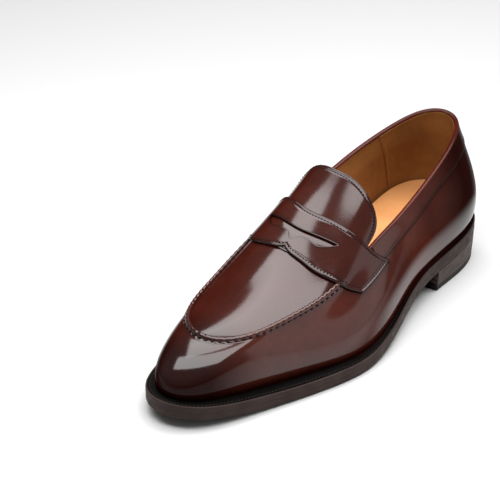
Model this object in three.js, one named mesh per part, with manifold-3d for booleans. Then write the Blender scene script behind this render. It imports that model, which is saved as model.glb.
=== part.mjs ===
// Penny loafer, left shoe. Millimetres, +Z up, toe towards -Y, heel towards +Y, lateral side +X.
// The upper is one smooth skin. Its places are given by (station, across): station 0 is the tip
// of the toe and station 10.5 the back of the heel, and across runs from -2 at the medial foot
// of the wall, over the seams at -1 and +1, to +2 at the lateral foot of the wall.
import * as THREE from "three";
import { mergeVertices } from "three/addons/utils/BufferGeometryUtils.js";
import Module from "manifold-3d";

const wasm = await Module();
wasm.setup();

// ---------------------------------------------------------------- driving dimensions

const CENTRE = [7.4, 4.4]; // middle of the shoe's plan, taken as the origin
const GAP = 0.3; // clearance between touching pieces

// Height of the sole's underside
const TOE_SPRING = 8.9; // lift a hundred millimetres ahead of the ball
const BALL_Y = -55; // the tread leaves the ground ahead of this line
const WAIST_Y = -32; // and behind this one
const BREAST_Y = 76; // front face of the heel
const HEEL_BREAST = 13; // height there, and what the end of the pitch adds to it
const HEEL_PITCH = 7;
const PITCH_FROM = 30; // the seat tips up between these two lines
const PITCH_TO = 150;

// Bottom unit, heights above the underside of the sole
const OUTSOLE = 4.8;
const WELT_TOP = 9.2;
const UPPER_LIFT = 0.5; // foot of the upper above the welt
const HEEL_SEAT_RISE = 2.5; // extra lift of the upper over the rand
const SEAT_FROM = 10; // that lift grows behind this line
const SEAT_RUN = 80; // over this length
const INSOLE = 2.0;
const HEEL_PAD = 6.0; // height of the wedge under the sock at the heel
const PAD_FROM = 30; // the pad rises behind this line
const PAD_RUN = 60; // over this length
const SOCK = 1.0;
const WELT_WIDTH = 12.5;
const TOP_PIECE = 4.0; // rubber under the heel
const LIFT = 3.2; // one leather heel lift
const NAIL_ROOM = 2.0; // height kept for the nail heads over the outsole
const HEEL_INSET = 0.3; // heel inside the sole's edge
const HEEL_TAPER = 0.8; // how much smaller the heel is at the ground
const RAND_LEDGE = 1.4; // width of the rand's level top outside the upper

// Leather thicknesses, measured inwards from the skin
const UPPER = 1.4;
const STIFFENER = 0.9;
const LINING = 0.9;
const STRAP = 1.6;
const STRAP_LIFT = 0.5; // space left under the saddle strap
const COLLAR = 0.9;
const BINDING = 1.6; // height of the rolled binding along the topline
const BINDING_FALL = 0.35; // how far its sides lie below its top
const TONGUE_LEATHER = 1.2;
const TONGUE_BOTH = 2.3; // tongue leather and its lining together
const CORD = 0.8; // width of a thread

// Edges of the upper's pieces, in stations and across
const STRAP_FRONT = 3.55;
const STRAP_REAR = 4.77;
const STRAP_END = 1.34;
const SLOT_REAR = 4.21;
const SLOT_MIDDLE = -0.05; // across, where the slot and the strap's notch have their middles
const SLOT_HALF = 0.71;
const COLLAR_DROP = 0.24; // share of the wall that the collar band covers
const TONGUE_END = 6.2;
const TONGUE_SIDE = 0.9;
const TONGUE_CORNER = 0.45; // how much shorter the tongue is at its sides
const EDGE_ROOM = 0.07; // stations left between the strap and the pieces behind it
const TOE_PUFF_REACH = 2.17;
const COUNTER_REACH = 2.5;
const HEEL_REACH = 2.55;
const VAMP_REACH = 5;

// ---------------------------------------------------------------- guiding curves

// Plan of the sole's edge: heel, lateral waist, ball, toe, medial ball, waist, and back to the heel.
const soleEdge = [
  [0, 155.5], [24.5, 151], [37.5, 123.5], [38, 87], [42, 51], [54, 15], [62, -22],
  [53, -57], [39, -95], [27, -129], [10, -146], [-12, -146], [-27, -130], [-40, -92],
  [-47, -54], [-38, -14], [-28, 24], [-28, 64], [-34, 100], [-36, 128], [-24, 150.5],
];

// How far the foot of the upper stands inside that edge, at the same places
const footInset = [
  1.5, 1.5, 2, 2, 3, 3.5, 6,
  9, 9.5, 8, 7, 7, 6, 6,
  5, 5, 3, 2, 2, 2, 2,
];

// Upper edge of the wall: the topline round the heel, then the apron seam round the toe
const wallEdge = [
  [-1, 148, 96], [15, 138, 93], [24, 110, 86], [29, 75, 76], [32, 42, 67], [33, 14, 62], [34, -7, 54],
  [35, -33, 47], [31, -63, 45], [24, -92, 42], [8, -110, 41], [-14, -108, 42], [-30, -88, 40],
  [-37, -57, 42],
  [-38, -29, 51], [-36, -6, 60], [-36, 16, 68], [-34, 43, 70], [-34, 76, 78], [-28, 111, 87], [-18, 139, 95],
];

// Sides of the tongue, which climb away from the topline, medial and lateral
const tongueMedial = [[-33, 52, 89], [-35, 34, 79]];
const tongueLateral = [[31, 32, 73], [30, 50, 83]];

// Ridge along the middle of the apron and tongue, as y and z
const ridge = [
  [-112, 42.5], [-90, 46.5], [-60, 52.5], [-30, 63], [-6, 75.5], [12, 85.5], [28, 96], [46, 108],
];

// Shape of the wall between its foot and its edge, by region from the heel, as above
const wallBulge = [
  6, 7, 5.5, 3.5, 3, 3, 3,
  3, 3, 3, 3, 3, 3, 3,
  2.5, 2, 2, 2.5, 3, 4.5, 6,
];
const lowRise = [
  0.3, 0.3, 0.3, 0.35, 0.45, 0.5, 0.5,
  0.55, 0.6, 0.6, 0.6, 0.6, 0.6, 0.6,
  0.55, 0.5, 0.5, 0.45, 0.4, 0.35, 0.3,
];
const highRun = [
  0.55, 0.55, 0.55, 0.5, 0.5, 0.5, 0.4,
  0.4, 0.4, 0.45, 0.45, 0.45, 0.45, 0.4,
  0.4, 0.4, 0.5, 0.5, 0.5, 0.5, 0.55,
];
const highDrop = [
  0.3, 0.3, 0.3, 0.3, 0.3, 0.3, 0.28,
  0.28, 0.18, 0.12, 0.1, 0.11, 0.15, 0.22,
  0.25, 0.28, 0.3, 0.3, 0.3, 0.3, 0.3,
];

const COUNT = soleEdge.length;
const ROWS_PER_UNIT = 3;
const WALL_COLUMNS = 6;
const HALF = COUNT / 2;
const ARCH_LATERAL = 2.4; // roundness of the instep's lateral half
const ARCH_MEDIAL = 3.6; // the medial half is fuller behind the ball

// ---------------------------------------------------------------- curve tools

const clamp = (x, low, high) => Math.min(high, Math.max(low, x));
const mix = (a, b, t) => a + (b - a) * t;
const smooth = (x) => x ** 2 * (3 - 2 * x);
const bell = (x, height, width) => height * Math.exp(-((x / width) ** 2));
const steps = (n, from, to) => Array.from({ length: n + 1 }, (_, i) => mix(from, to, i / n));
// Steps that crowd towards both ends, for rows that close in on the toe and the heel
const easedSteps = (n, from, to) => steps(n, 0, 1).map((x) => mix(from, to, (1 - Math.cos(Math.PI * x)) / 2));

// The shared marks that lie between two limits, with the limits themselves. Neighbouring layers
// take their rows from the same marks, so their facets run parallel and keep their gap.
function marksBetween(marks, from, to) {
  const room = 0.04;
  return [from, ...marks.filter((m) => m > from + room && m < to - room), to];
}

function splineWeights(t) {
  const weights = [(1 - t) ** 3, 3 * t ** 3 - 6 * t ** 2 + 4, -3 * t ** 3 + 3 * t ** 2 + 3 * t + 1, t ** 3];
  return weights.map((w) => w / 6);
}

function blendPoints(points, weights) {
  return points[0].map((_, k) => points.reduce((sum, p, i) => sum + p[k] * weights[i], 0));
}

// Smooth closed curve guided by its points, one unit of u for each
function onLoop(points, u) {
  const i = Math.floor(u);
  const near = [-1, 0, 1, 2].map((k) => points[(((i + k) % COUNT) + COUNT) % COUNT]);
  return blendPoints(near, splineWeights(u - i));
}

// Smooth open curve guided by its points, from u = 0 to the last one
function onRail(points, u) {
  const last = points.length - 1;
  const reach = (i) => {
    if (i < 0) return points[0].map((x, k) => 2 * x - points[1][k]);
    if (i > last) return points[last].map((x, k) => 2 * x - points[last - 1][k]);
    return points[i];
  };
  const i = clamp(Math.floor(u), 0, last - 1);
  return blendPoints([-1, 0, 1, 2].map((k) => reach(i + k)), splineWeights(u - i));
}

// ---------------------------------------------------------------- the skin of the upper

// Height of the sole's underside above the ground
function underside(y) {
  const ahead = Math.max(0, BALL_Y - y) / 100;
  const rise = clamp((y - WAIST_Y) / (BREAST_Y - WAIST_Y), 0, 1);
  const pitch = clamp((y - PITCH_FROM) / (PITCH_TO - PITCH_FROM), 0, 1);
  return TOE_SPRING * ahead ** 2 + HEEL_BREAST * smooth(rise) + HEEL_PITCH * pitch ** 2;
}

// Height of the foot of the upper, where the insole also lies
function seat(y) {
  const back = clamp((y - SEAT_FROM) / SEAT_RUN, 0, 1);
  return underside(y) + WELT_TOP + UPPER_LIFT + HEEL_SEAT_RISE * smooth(back);
}

// Outward direction in plan at each guiding point of the sole's edge
const outward = soleEdge.map((_, i) => {
  const [ax, ay] = soleEdge[(i + COUNT - 1) % COUNT];
  const [bx, by] = soleEdge[(i + 1) % COUNT];
  const length = Math.hypot(bx - ax, by - ay);
  return [-(by - ay) / length, (bx - ax) / length];
});

// The sole's edge moved inwards by a distance, or by one distance for each guiding point
function insetEdge(inset) {
  return soleEdge.map(([x, y], i) => {
    const d = Array.isArray(inset) ? inset[i] : inset;
    return [x - outward[i][0] * d, y - outward[i][1] * d];
  });
}

const wallFoot = insetEdge(footInset).map(([x, y]) => [x, y, seat(y)]);
const wallLow = wallFoot.map(([x, y, z], i) => {
  const rise = wallEdge[i][2] - z;
  return [x + outward[i][0] * wallBulge[i], y + outward[i][1] * wallBulge[i], z + lowRise[i] * rise];
});
const wallHigh = wallEdge.map(([x, y, z], i) => {
  const [fx, fy, fz] = wallFoot[i];
  return [mix(x, fx, highRun[i]), mix(y, fy, highRun[i]), mix(z, fz, highDrop[i])];
});

// The seam and the tongue's sides as one rail, medial to lateral, with the toe at its middle
const topRail = [
  ...tongueMedial,
  ...Array.from({ length: 12 }, (_, i) => wallEdge[16 - i]),
  ...tongueLateral,
];
const TOE_ON_RAIL = (topRail.length - 1) / 2;

// One point of the wall at u round the shoe and v from foot to edge, with an edge of choice
function wallWithEdge(u, v, edge) {
  const high = onLoop(wallHigh, u).map((x, k) => x - onLoop(wallEdge, u)[k] + edge[k]);
  const w = [(1 - v) ** 3, 3 * v * (1 - v) ** 2, 3 * v * v * (1 - v), v ** 3];
  return blendPoints([onLoop(wallFoot, u), onLoop(wallLow, u), high, edge], w);
}

const wall = (u, v) => wallWithEdge(u, v, onLoop(wallEdge, u));

function ridgeHeight(y) {
  let low = 0;
  let high = ridge.length - 1;
  for (let k = 0; k < 30; k += 1) {
    const middle = (low + high) / 2;
    if (onRail(ridge, middle)[0] < y) low = middle;
    else high = middle;
  }
  return onRail(ridge, low)[1];
}

// The apron and tongue between the two rails, arched up to the ridge
function crown(station, across) {
  const lateral = onRail(topRail, TOE_ON_RAIL + station);
  const medial = onRail(topRail, TOE_ON_RAIL - station);
  const middle = lateral.map((x, k) => (x + medial[k]) / 2);
  const lift = Math.max(0, ridgeHeight(middle[1]) - middle[2]);
  const fuller = clamp((station - 2.5) / 2, 0, 1);
  const power = across < 0 ? mix(ARCH_LATERAL, ARCH_MEDIAL, fuller) : ARCH_LATERAL;
  const point = lateral.map((x, k) => mix(medial[k], x, (1 + across) / 2));
  point[2] += lift * (1 - Math.abs(across) ** power);
  return point;
}

// Any place on the upper, by station and across
function skin(station, across) {
  if (Math.abs(across) <= 1) return crown(station, across);
  const side = Math.sign(across);
  const edge = onRail(topRail, TOE_ON_RAIL + side * station);
  return wallWithEdge(HALF - side * station, 2 - Math.abs(across), edge);
}

// Outward normal of a surface given as a function of two numbers
function normalOf(surface, p, q, [lowQ, highQ]) {
  const h = 0.02;
  const a = new THREE.Vector3(...surface(p + h, q)).sub(new THREE.Vector3(...surface(p - h, q)));
  const b = new THREE.Vector3(...surface(p, Math.min(highQ, q + h)));
  b.sub(new THREE.Vector3(...surface(p, Math.max(lowQ, q - h))));
  return a.cross(b).normalize();
}

// A layer's surface: the skin pushed out by a distance, or in where it is negative
function skinAt(station, across, distance) {
  const n = normalOf(skin, Math.max(0.03, station), across, [-2, 2]).multiplyScalar(-distance);
  return new THREE.Vector3(...skin(station, across)).add(n);
}

// The same for the wall. Near its foot a layer is pushed level, so that all of them end at one height.
function wallAt(u, v, distance) {
  const n = normalOf(wall, u, v, [0, 1]).negate();
  n.z *= clamp(v / 0.3, 0, 1);
  return new THREE.Vector3(...wall(u, v)).add(n.normalize().multiplyScalar(distance));
}

// ---------------------------------------------------------------- solids

// Two grids of points, face to face, joined round their rims into one closed solid
function slabBetween(top, bottom, isLoop = false) {
  const rows = top.length;
  const cols = top[0].length;
  const points = [...top.flat(), ...bottom.flat()];
  const at = (layer, i, j) => layer * rows * cols + (i % rows) * cols + j;
  const faces = [];
  const quad = (a, b, c, d) => faces.push(a, b, c, a, c, d);
  const lastRow = isLoop ? rows : rows - 1;
  for (let i = 0; i < lastRow; i += 1) {
    for (let j = 0; j < cols - 1; j += 1) {
      quad(at(0, i, j), at(0, i + 1, j), at(0, i + 1, j + 1), at(0, i, j + 1));
      quad(at(1, i, j), at(1, i, j + 1), at(1, i + 1, j + 1), at(1, i + 1, j));
    }
    quad(at(0, i, 0), at(1, i, 0), at(1, i + 1, 0), at(0, i + 1, 0));
    quad(at(0, i, cols - 1), at(0, i + 1, cols - 1), at(1, i + 1, cols - 1), at(1, i, cols - 1));
  }
  for (let j = 0; j < cols - 1 && !isLoop; j += 1) {
    quad(at(0, 0, j), at(0, 0, j + 1), at(1, 0, j + 1), at(1, 0, j));
    quad(at(0, rows - 1, j), at(1, rows - 1, j), at(1, rows - 1, j + 1), at(0, rows - 1, j + 1));
  }
  const geometry = new THREE.BufferGeometry().setFromPoints(points);
  geometry.setIndex(facingOut(points, faces));
  return geometry;
}

// Turns every face round if the solid they enclose is inside out
function facingOut(points, faces) {
  let volume = 0;
  for (let i = 0; i < faces.length; i += 3) {
    const [a, b, c] = [points[faces[i]], points[faces[i + 1]], points[faces[i + 2]]];
    volume += a.dot(b.clone().cross(c));
  }
  return volume > 0 ? faces : faces.reverse();
}

const grid = (rows, cols, make) => rows.map((r) => cols.map((c) => make(r, c)));

// A leather piece on the skin, between two distances from it. place gives station and across.
function skinPiece(rows, cols, place, outer, inner) {
  const layer = (distance) => grid(rows, cols, (r, c) => skinAt(...place(r, c), distance));
  return slabBetween(layer(outer), layer(inner));
}

const wallMarks = steps(4 * COUNT * ROWS_PER_UNIT, -2 * COUNT, 2 * COUNT);
const wallRows = (from, to) => marksBetween(wallMarks, from, to);
const wallColumns = (low, high) => marksBetween(steps(WALL_COLUMNS, 0, 1), low, high);

// A leather piece on the wall, u round the shoe and v up the wall
function wallPiece(rows, cols, place, outer, inner, isLoop = false) {
  const layer = (distance) => grid(rows, cols, (r, c) => wallAt(...place(r, c), distance));
  return slabBetween(layer(outer), layer(inner), isLoop);
}

const NEAR_TIP = 0.12;
const NEAR_HEEL = HALF - 0.12;
const soleStations = easedSteps(26, NEAR_TIP, NEAR_HEEL);

// A flat layer of the bottom, between two stations and two heights that follow the sole
function soleLayer(edge, from, to, low, high, width = 1) {
  const rows = marksBetween(soleStations, from, to);
  const layer = (height) => grid(rows, [-width, 0, width], (station, c) => {
    const lateral = onLoop(edge, HALF - station);
    const medial = onLoop(edge, HALF + station);
    const [x, y] = lateral.map((v, k) => mix(medial[k], v, (1 + c) / 2));
    return new THREE.Vector3(x, y, height(y));
  });
  return slabBetween(layer(high), layer(low));
}

// Places round the sole's edge at the shared stations, from the lateral side to the medial one
const roundToe = (reach) => {
  const stations = marksBetween(soleStations, 0, reach);
  return [...stations.slice(1).reverse().map((s) => HALF - s), ...stations.map((s) => HALF + s)];
};
const roundBack = (from) => {
  const stations = marksBetween(soleStations, from, HALF);
  return [...stations.map((s) => s - HALF), ...stations.slice(0, -1).reverse().map((s) => HALF - s)];
};

// A strip of the bottom along the sole's edge. The heights are given by y and the number of the inset.
function edgeStrip(rows, insets, low, high) {
  const edges = insets.map(insetEdge);
  const layer = (height) => grid(rows, [...edges.keys()], (u, k) => {
    const [x, y] = onLoop(edges[k], u);
    return new THREE.Vector3(x, y, height(y, k));
  });
  return slabBetween(layer(high), layer(low));
}

// A square-sectioned cord laid along a line of points, standing on a surface with the given normals
function laidCord(points, normals, width) {
  const across = points.map((p, i) => {
    const next = points[Math.min(points.length - 1, i + 1)];
    const before = points[Math.max(0, i - 1)];
    return next.clone().sub(before).cross(normals[i]).normalize().multiplyScalar(width / 2);
  });
  const layer = (height) => points.map((p, i) => {
    const middle = p.clone().addScaledVector(normals[i], height);
    return [middle.clone().sub(across[i]), middle.clone().add(across[i])];
  });
  return slabBetween(layer(width), layer(0));
}

function toSolid(geometry) {
  const bare = new THREE.BufferGeometry();
  bare.setAttribute("position", geometry.getAttribute("position"));
  bare.setIndex(geometry.index);
  const merged = mergeVertices(bare, 1e-3);
  return new wasm.Manifold(new wasm.Mesh({
    numProp: 3,
    vertProperties: new Float32Array(merged.getAttribute("position").array),
    triVerts: new Uint32Array(merged.index.array),
  }));
}

function toGeometry(solid) {
  const mesh = solid.getMesh();
  const geometry = new THREE.BufferGeometry();
  geometry.setAttribute("position", new THREE.BufferAttribute(new Float32Array(mesh.vertProperties), 3));
  geometry.setIndex(new THREE.BufferAttribute(new Uint32Array(mesh.triVerts), 1));
  return geometry;
}

const cutAway = (geometry, tools) =>
  toGeometry(tools.reduce((solid, tool) => solid.subtract(toSolid(tool)), toSolid(geometry)));

// ---------------------------------------------------------------- materials

const paint = (color, roughness, metalness = 0) =>
  new THREE.MeshStandardMaterial({ color, roughness, metalness });
const BURGUNDY = paint(0x4a1812, 0.22);
const BINDING_RED = paint(0x3a0f0c, 0.35);
const TAN_LINING = paint(0x9a5f2c, 0.6);
const TAN_SOCK = paint(0xc98a52, 0.55);
const FIBRE = paint(0xb39a72, 0.9);
const CORK = paint(0x7d5a3a, 0.95);
const STEEL = paint(0x8c8c90, 0.35, 1);
const BRASS = paint(0xb08d4a, 0.35, 1);
const SOLE_EDGE = paint(0x2a211e, 0.5);
const WELT_BLACK = paint(0x15100f, 0.55);
const RUBBER = paint(0x1b1817, 0.8);
const THREAD = paint(0x1c0b08, 0.7);

const shoe = new THREE.Group();
shoe.position.set(-CENTRE[0], -CENTRE[1], 0);

function add(name, geometry, material) {
  const mesh = new THREE.Mesh(geometry, material);
  mesh.name = name;
  shoe.add(mesh);
}

// ---------------------------------------------------------------- outlines of the upper's pieces

const strapRear = (across) => STRAP_REAR + 0.55 * across ** 2;
const strapFront = (across) => {
  const flare = 1.5 * Math.max(0, Math.abs(across) - 0.5) ** 2;
  const notch = 0.12 * Math.exp(-Math.abs(across - SLOT_MIDDLE) / 0.11);
  return STRAP_FRONT + flare + notch;
};
const slotRear = (across) => SLOT_REAR + (across < 0 ? 0.38 : 0.6) * across ** 2;
const slotFront = (across) => {
  const off = across - SLOT_MIDDLE;
  const lens = 0.15 * (1 - (off / SLOT_HALF) ** 8);
  const cusp = bell(off, 0.17, 0.09);
  const lobes = bell(Math.abs(off) - 0.48, 0.08, 0.12);
  return slotRear(across) - lens - cusp - lobes;
};
const tongueStart = (across) => strapRear(across) + EDGE_ROOM;
const tongueEnd = (share) => TONGUE_END - TONGUE_CORNER * Math.abs(share) ** 7;

// ---------------------------------------------------------------- upper

const around = steps(COUNT * ROWS_PER_UNIT, 0, COUNT).slice(0, -1);
add("side_panel", wallPiece(around, wallColumns(0, 0.98), (u, v) => [u, v], 0, -UPPER, true), BURGUNDY);

const apronRows = easedSteps(15, 0, 1);
const apronMarks = steps(8, -0.98, 0.98);
const apronPlace = (r, c) => [mix(0.08, strapRear(c) - 0.1, r), c];
add("apron", skinPiece(apronRows, apronMarks, apronPlace, 0, -UPPER), BURGUNDY);
const underApron = -UPPER - 2 * GAP;
const apronLiningMarks = marksBetween(apronMarks, -0.9, 0.9);
const apronLining = skinPiece(apronRows, apronLiningMarks, apronPlace, underApron, underApron - LINING);
add("apron_lining", apronLining, TAN_LINING);

const tongueRows = steps(6, 0, 1);
const tongueCols = steps(10, -1, 1);
const tonguePlace = (r, c) => {
  const across = c * TONGUE_SIDE;
  return [mix(tongueStart(across), tongueEnd(c), r), across];
};
add("tongue", skinPiece(tongueRows, tongueCols, tonguePlace, 0, -TONGUE_LEATHER), BURGUNDY);
const tongueLining = skinPiece(tongueRows, tongueCols, tonguePlace, -TONGUE_LEATHER - GAP, -TONGUE_BOTH);
add("tongue_lining", tongueLining, TAN_LINING);

const strapPlace = (a, r) => [mix(strapFront(a), strapRear(a), r), a];
const strapRows = steps(30, -STRAP_END, STRAP_END);
const strapBlank = skinPiece(strapRows, steps(3, 0, 1), strapPlace, STRAP_LIFT + STRAP, STRAP_LIFT);
const slotPlace = (a, r) => [mix(slotFront(a), slotRear(a), r), a];
const slotReach = 0.985 * SLOT_HALF;
const slotRows = steps(20, SLOT_MIDDLE - slotReach, SLOT_MIDDLE + slotReach);
const slotCutter = skinPiece(slotRows, [0, 1], slotPlace, STRAP_LIFT + STRAP + 1, STRAP_LIFT - 1);
add("saddle_strap", cutAway(strapBlank, [slotCutter]), BURGUNDY);

// The collar band and the binding run from the strap's rear edge round the heel.
const behindStrap = (v) => HALF - (strapRear(2 - v) + EDGE_ROOM);
const roundHeel = steps(2 * 5 * ROWS_PER_UNIT, -1, 1);
const collarPlace = (r, v) => [r * behindStrap(v), v];
const collarCols = wallColumns(1 - COLLAR_DROP, 0.98);
add("collar_band", wallPiece(roundHeel, collarCols, collarPlace, 2 * GAP + COLLAR, 2 * GAP), BURGUNDY);

// The rolled edge runs over the topline from the collar band across to the linings.
function bindingLayer(rise, fall) {
  const corners = [[COLLAR + 2 * GAP, rise - fall], [-2 * GAP, rise], [-UPPER - LINING - GAP, rise - fall]];
  return roundHeel.map((r) => {
    const u = r * (behindStrap(1) - 0.03);
    const edge = wallAt(u, 1, 0);
    const upwards = edge.clone().sub(wallAt(u, 0.9, 0)).normalize();
    const out = wallAt(u, 1, 1).sub(edge);
    return corners.map(([far, high]) => {
      const corner = edge.clone().addScaledVector(out, far);
      return corner.addScaledVector(upwards, high);
    });
  });
}
const binding = slabBetween(bindingLayer(GAP + BINDING, BINDING_FALL), bindingLayer(GAP, 0));
add("topline_binding", binding, BINDING_RED);

// ---------------------------------------------------------------- lining and stiffeners

const nextTo = -UPPER - 1.5 * GAP;
const behindStiffener = nextTo - STIFFENER - 1.5 * GAP;
const wallLayer = (rows, [low, high], depth, thickness) =>
  wallPiece(rows, wallColumns(low, high), (u, v) => [u, v], depth, depth - thickness);

const FOOT = 0.02; // the linings start just above the foot of the wall
const toPuff = wallRows(HALF - TOE_PUFF_REACH, HALF + TOE_PUFF_REACH);
const toCounter = wallRows(-COUNTER_REACH, COUNTER_REACH);
const toVamp = wallRows(HALF - VAMP_REACH, HALF + VAMP_REACH);
const lateralQuarter = wallRows(HEEL_REACH + 0.05, HALF - VAMP_REACH - 0.05);
const medialQuarter = wallRows(HALF + VAMP_REACH + 0.05, COUNT - HEEL_REACH - 0.05);
add("toe_puff", wallLayer(toPuff, [FOOT, 0.8], nextTo, STIFFENER), FIBRE);
add("heel_counter", wallLayer(toCounter, [FOOT, 0.72], nextTo, STIFFENER), FIBRE);
add("vamp_lining", wallLayer(toVamp, [FOOT, 0.92], behindStiffener, LINING), TAN_LINING);
add("quarter_lining_lateral", wallLayer(lateralQuarter, [FOOT, 0.98], nextTo, LINING), TAN_LINING);
add("quarter_lining_medial", wallLayer(medialQuarter, [FOOT, 0.98], nextTo, LINING), TAN_LINING);
const toHeel = wallRows(-HEEL_REACH, HEEL_REACH);
add("heel_lining", wallLayer(toHeel, [FOOT, 0.98], behindStiffener, LINING), TAN_LINING);

// ---------------------------------------------------------------- bottom

const above = (height) => (y) => underside(y) + height;
const wallThickness = UPPER + STIFFENER + LINING + 5 * GAP;
const sockInset = wallThickness + 0.8;
const insideUpper = insetEdge(footInset.map((d) => d + wallThickness));
const sockOutline = insetEdge(footInset.map((d) => d + sockInset));
const insideWelt = insetEdge(WELT_WIDTH + 2 * GAP);

const overInsole = (height) => (y) => seat(y) + INSOLE + height;
add("insole", soleLayer(insideUpper, NEAR_TIP, NEAR_HEEL, seat, overInsole(0)), FIBRE);

// The heel pad is a wedge on the insole. The sock runs over both.
const PAD_START = 6.3;
const padTop = (y) => overInsole(HEEL_PAD * smooth(clamp((y - PAD_FROM) / PAD_RUN, 0, 1)))(y);
const sockBase = (y) => padTop(y) + GAP;
add("heel_pad", soleLayer(sockOutline, PAD_START, NEAR_HEEL, overInsole(GAP), padTop), CORK);
add("sock_liner", soleLayer(sockOutline, NEAR_TIP, NEAR_HEEL, sockBase, (y) => sockBase(y) + SOCK), TAN_SOCK);

const SHANK_WIDTH = 0.4; // share of the sole's width inside the welt
const SHANK_LIFT = 0.8;
const SHANK = 1.6;
const shankBase = OUTSOLE + SHANK_LIFT;
const shank = soleLayer(insideWelt, 5.4, 8.8, above(shankBase), above(shankBase + SHANK), SHANK_WIDTH);
add("cork_filler", soleLayer(insideWelt, 0.3, 5.2, above(OUTSOLE + GAP), above(WELT_TOP - GAP)), CORK);
add("shank", shank, STEEL);
const fillerBase = above(OUTSOLE + NAIL_ROOM);
add("heel_filler", soleLayer(insideWelt, 8.9, NEAR_HEEL, fillerBase, (y) => seat(y) - 3 * GAP), CORK);

const WELT_REACH = 7;
const weltLow = above(OUTSOLE + GAP);
add("welt", edgeStrip(roundToe(WELT_REACH), [0, WELT_WIDTH], weltLow, above(WELT_TOP)), WELT_BLACK);

// The rand carries the welt's edge round the heel and steps up under the foot of the upper.
const randRows = roundBack(WELT_REACH + 0.05);
const randInsets = [0, RAND_LEDGE, RAND_LEDGE + 0.5, WELT_WIDTH];
const randTop = (y, k) => (k < 2 ? above(WELT_TOP)(y) : seat(y) - 3 * GAP);
add("heel_rand", edgeStrip(randRows, randInsets, weltLow, randTop), WELT_BLACK);

// Nails hold the heel to the outsole. Each is driven down from inside the shoe.
const nailPlaces = [[2, 138], [20, 120], [-16, 122], [20, 95], [-16, 98]];
const NAIL_RADIUS = 1.1;
const NAIL_SIDES = 8;
const NAIL_HEAD = 2.2;
const NAIL_HEAD_HEIGHT = 0.9;
const NAIL_POINT = 0.8;
const NAIL_TIP = TOP_PIECE + 0.8;
const nailNeck = (y) => underside(y) + OUTSOLE + GAP + 0.1;

// A turned solid that stands at a place in the plan, from its radii and heights
function turned([x, y], profile) {
  const geometry = new THREE.LatheGeometry(profile.map((p) => new THREE.Vector2(...p)), NAIL_SIDES);
  return geometry.rotateX(Math.PI / 2).translate(x, y, 0);
}

function nail(place) {
  const neck = nailNeck(place[1]);
  const top = neck + NAIL_HEAD_HEIGHT;
  return turned(place, [
    [0, NAIL_TIP], [NAIL_RADIUS, NAIL_TIP + NAIL_POINT], [NAIL_RADIUS, neck],
    [NAIL_HEAD, neck], [NAIL_HEAD, top], [0, top],
  ]);
}

// The nail's hole clears its shank all round and stays open over it.
function nailHole(place) {
  const radius = NAIL_RADIUS + GAP;
  const tip = NAIL_TIP - 2 * GAP;
  const top = nailNeck(place[1]) + 2 * NAIL_HEAD_HEIGHT;
  return turned(place, [[0, tip], [radius, tip + NAIL_POINT], [radius, top], [0, top]]);
}
nailPlaces.forEach((place, i) => add(`heel_nail_${i + 1}`, nail(place), BRASS));
const nailHoles = nailPlaces.map(nailHole);

const soleBlank = soleLayer(soleEdge, NEAR_TIP, NEAR_HEEL, underside, above(OUTSOLE));
add("outsole", cutAway(soleBlank, nailHoles), SOLE_EDGE);

// The heel is a stack: a rubber top piece on the ground, two level lifts and a wedge under the sole.
const BREAST_STATIONS = [7.38, 7.02]; // lateral and medial corner of its front face
function heelLayer(low, high) {
  const outlineAt = (z) => insetEdge(HEEL_INSET + HEEL_TAPER * (1 - clamp(z / HEEL_BREAST, 0, 1)));
  const rows = easedSteps(14, 0, 1);
  const cols = steps(4, -1, 1);
  const layer = (height) => {
    const edge = outlineAt(height(BREAST_Y));
    return grid(rows, cols, (r, c) => {
      const lateral = onLoop(edge, HALF - mix(BREAST_STATIONS[0], NEAR_HEEL, r));
      const medial = onLoop(edge, HALF + mix(BREAST_STATIONS[1], NEAR_HEEL, r));
      const [x, y] = lateral.map((v, k) => mix(medial[k], v, (1 + c) / 2));
      return new THREE.Vector3(x, y, height(y));
    });
  };
  return slabBetween(layer(high), layer(low));
}
const level = (z) => () => z;
add("heel_top_piece", heelLayer(level(0), level(TOP_PIECE)), RUBBER);
const liftBases = [TOP_PIECE + GAP, TOP_PIECE + LIFT + 2 * GAP];
liftBases.forEach((z, i) => {
  add(`heel_lift_${i + 1}`, cutAway(heelLayer(level(z), level(z + LIFT)), nailHoles), SOLE_EDGE);
});
const wedgeBase = TOP_PIECE + 2 * LIFT + 3 * GAP;
add("heel_wedge", cutAway(heelLayer(level(wedgeBase), above(-GAP)), nailHoles), SOLE_EDGE);

// ---------------------------------------------------------------- seams

const APRON_THREAD_REACH = 3.5;
const seamRows = wallRows(HALF - APRON_THREAD_REACH, HALF + APRON_THREAD_REACH);
const SEAM_HEIGHT = 0.93; // share of the wall's height where the apron's stitches lie
const seamPoints = seamRows.map((u) => wallAt(u, SEAM_HEIGHT, 2 * GAP));
const seamNormals = seamRows.map((u) => wallAt(u, SEAM_HEIGHT, 1).sub(wallAt(u, SEAM_HEIGHT, 0)));
add("apron_thread", laidCord(seamPoints, seamNormals, CORD), THREAD);

const weltThreadEdge = insetEdge(footInset.map((d) => 0.45 * d));
const weltThreadPoints = roundToe(5).map((u) => {
  const [x, y] = onLoop(weltThreadEdge, u);
  return new THREE.Vector3(x, y, underside(y) + WELT_TOP + GAP);
});
const up = new THREE.Vector3(0, 0, 1);
add("welt_thread", laidCord(weltThreadPoints, weltThreadPoints.map(() => up), CORD), THREAD);

export default shoe;
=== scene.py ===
import math

import bmesh
import bpy
import numpy as np
from mathutils import Matrix


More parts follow.
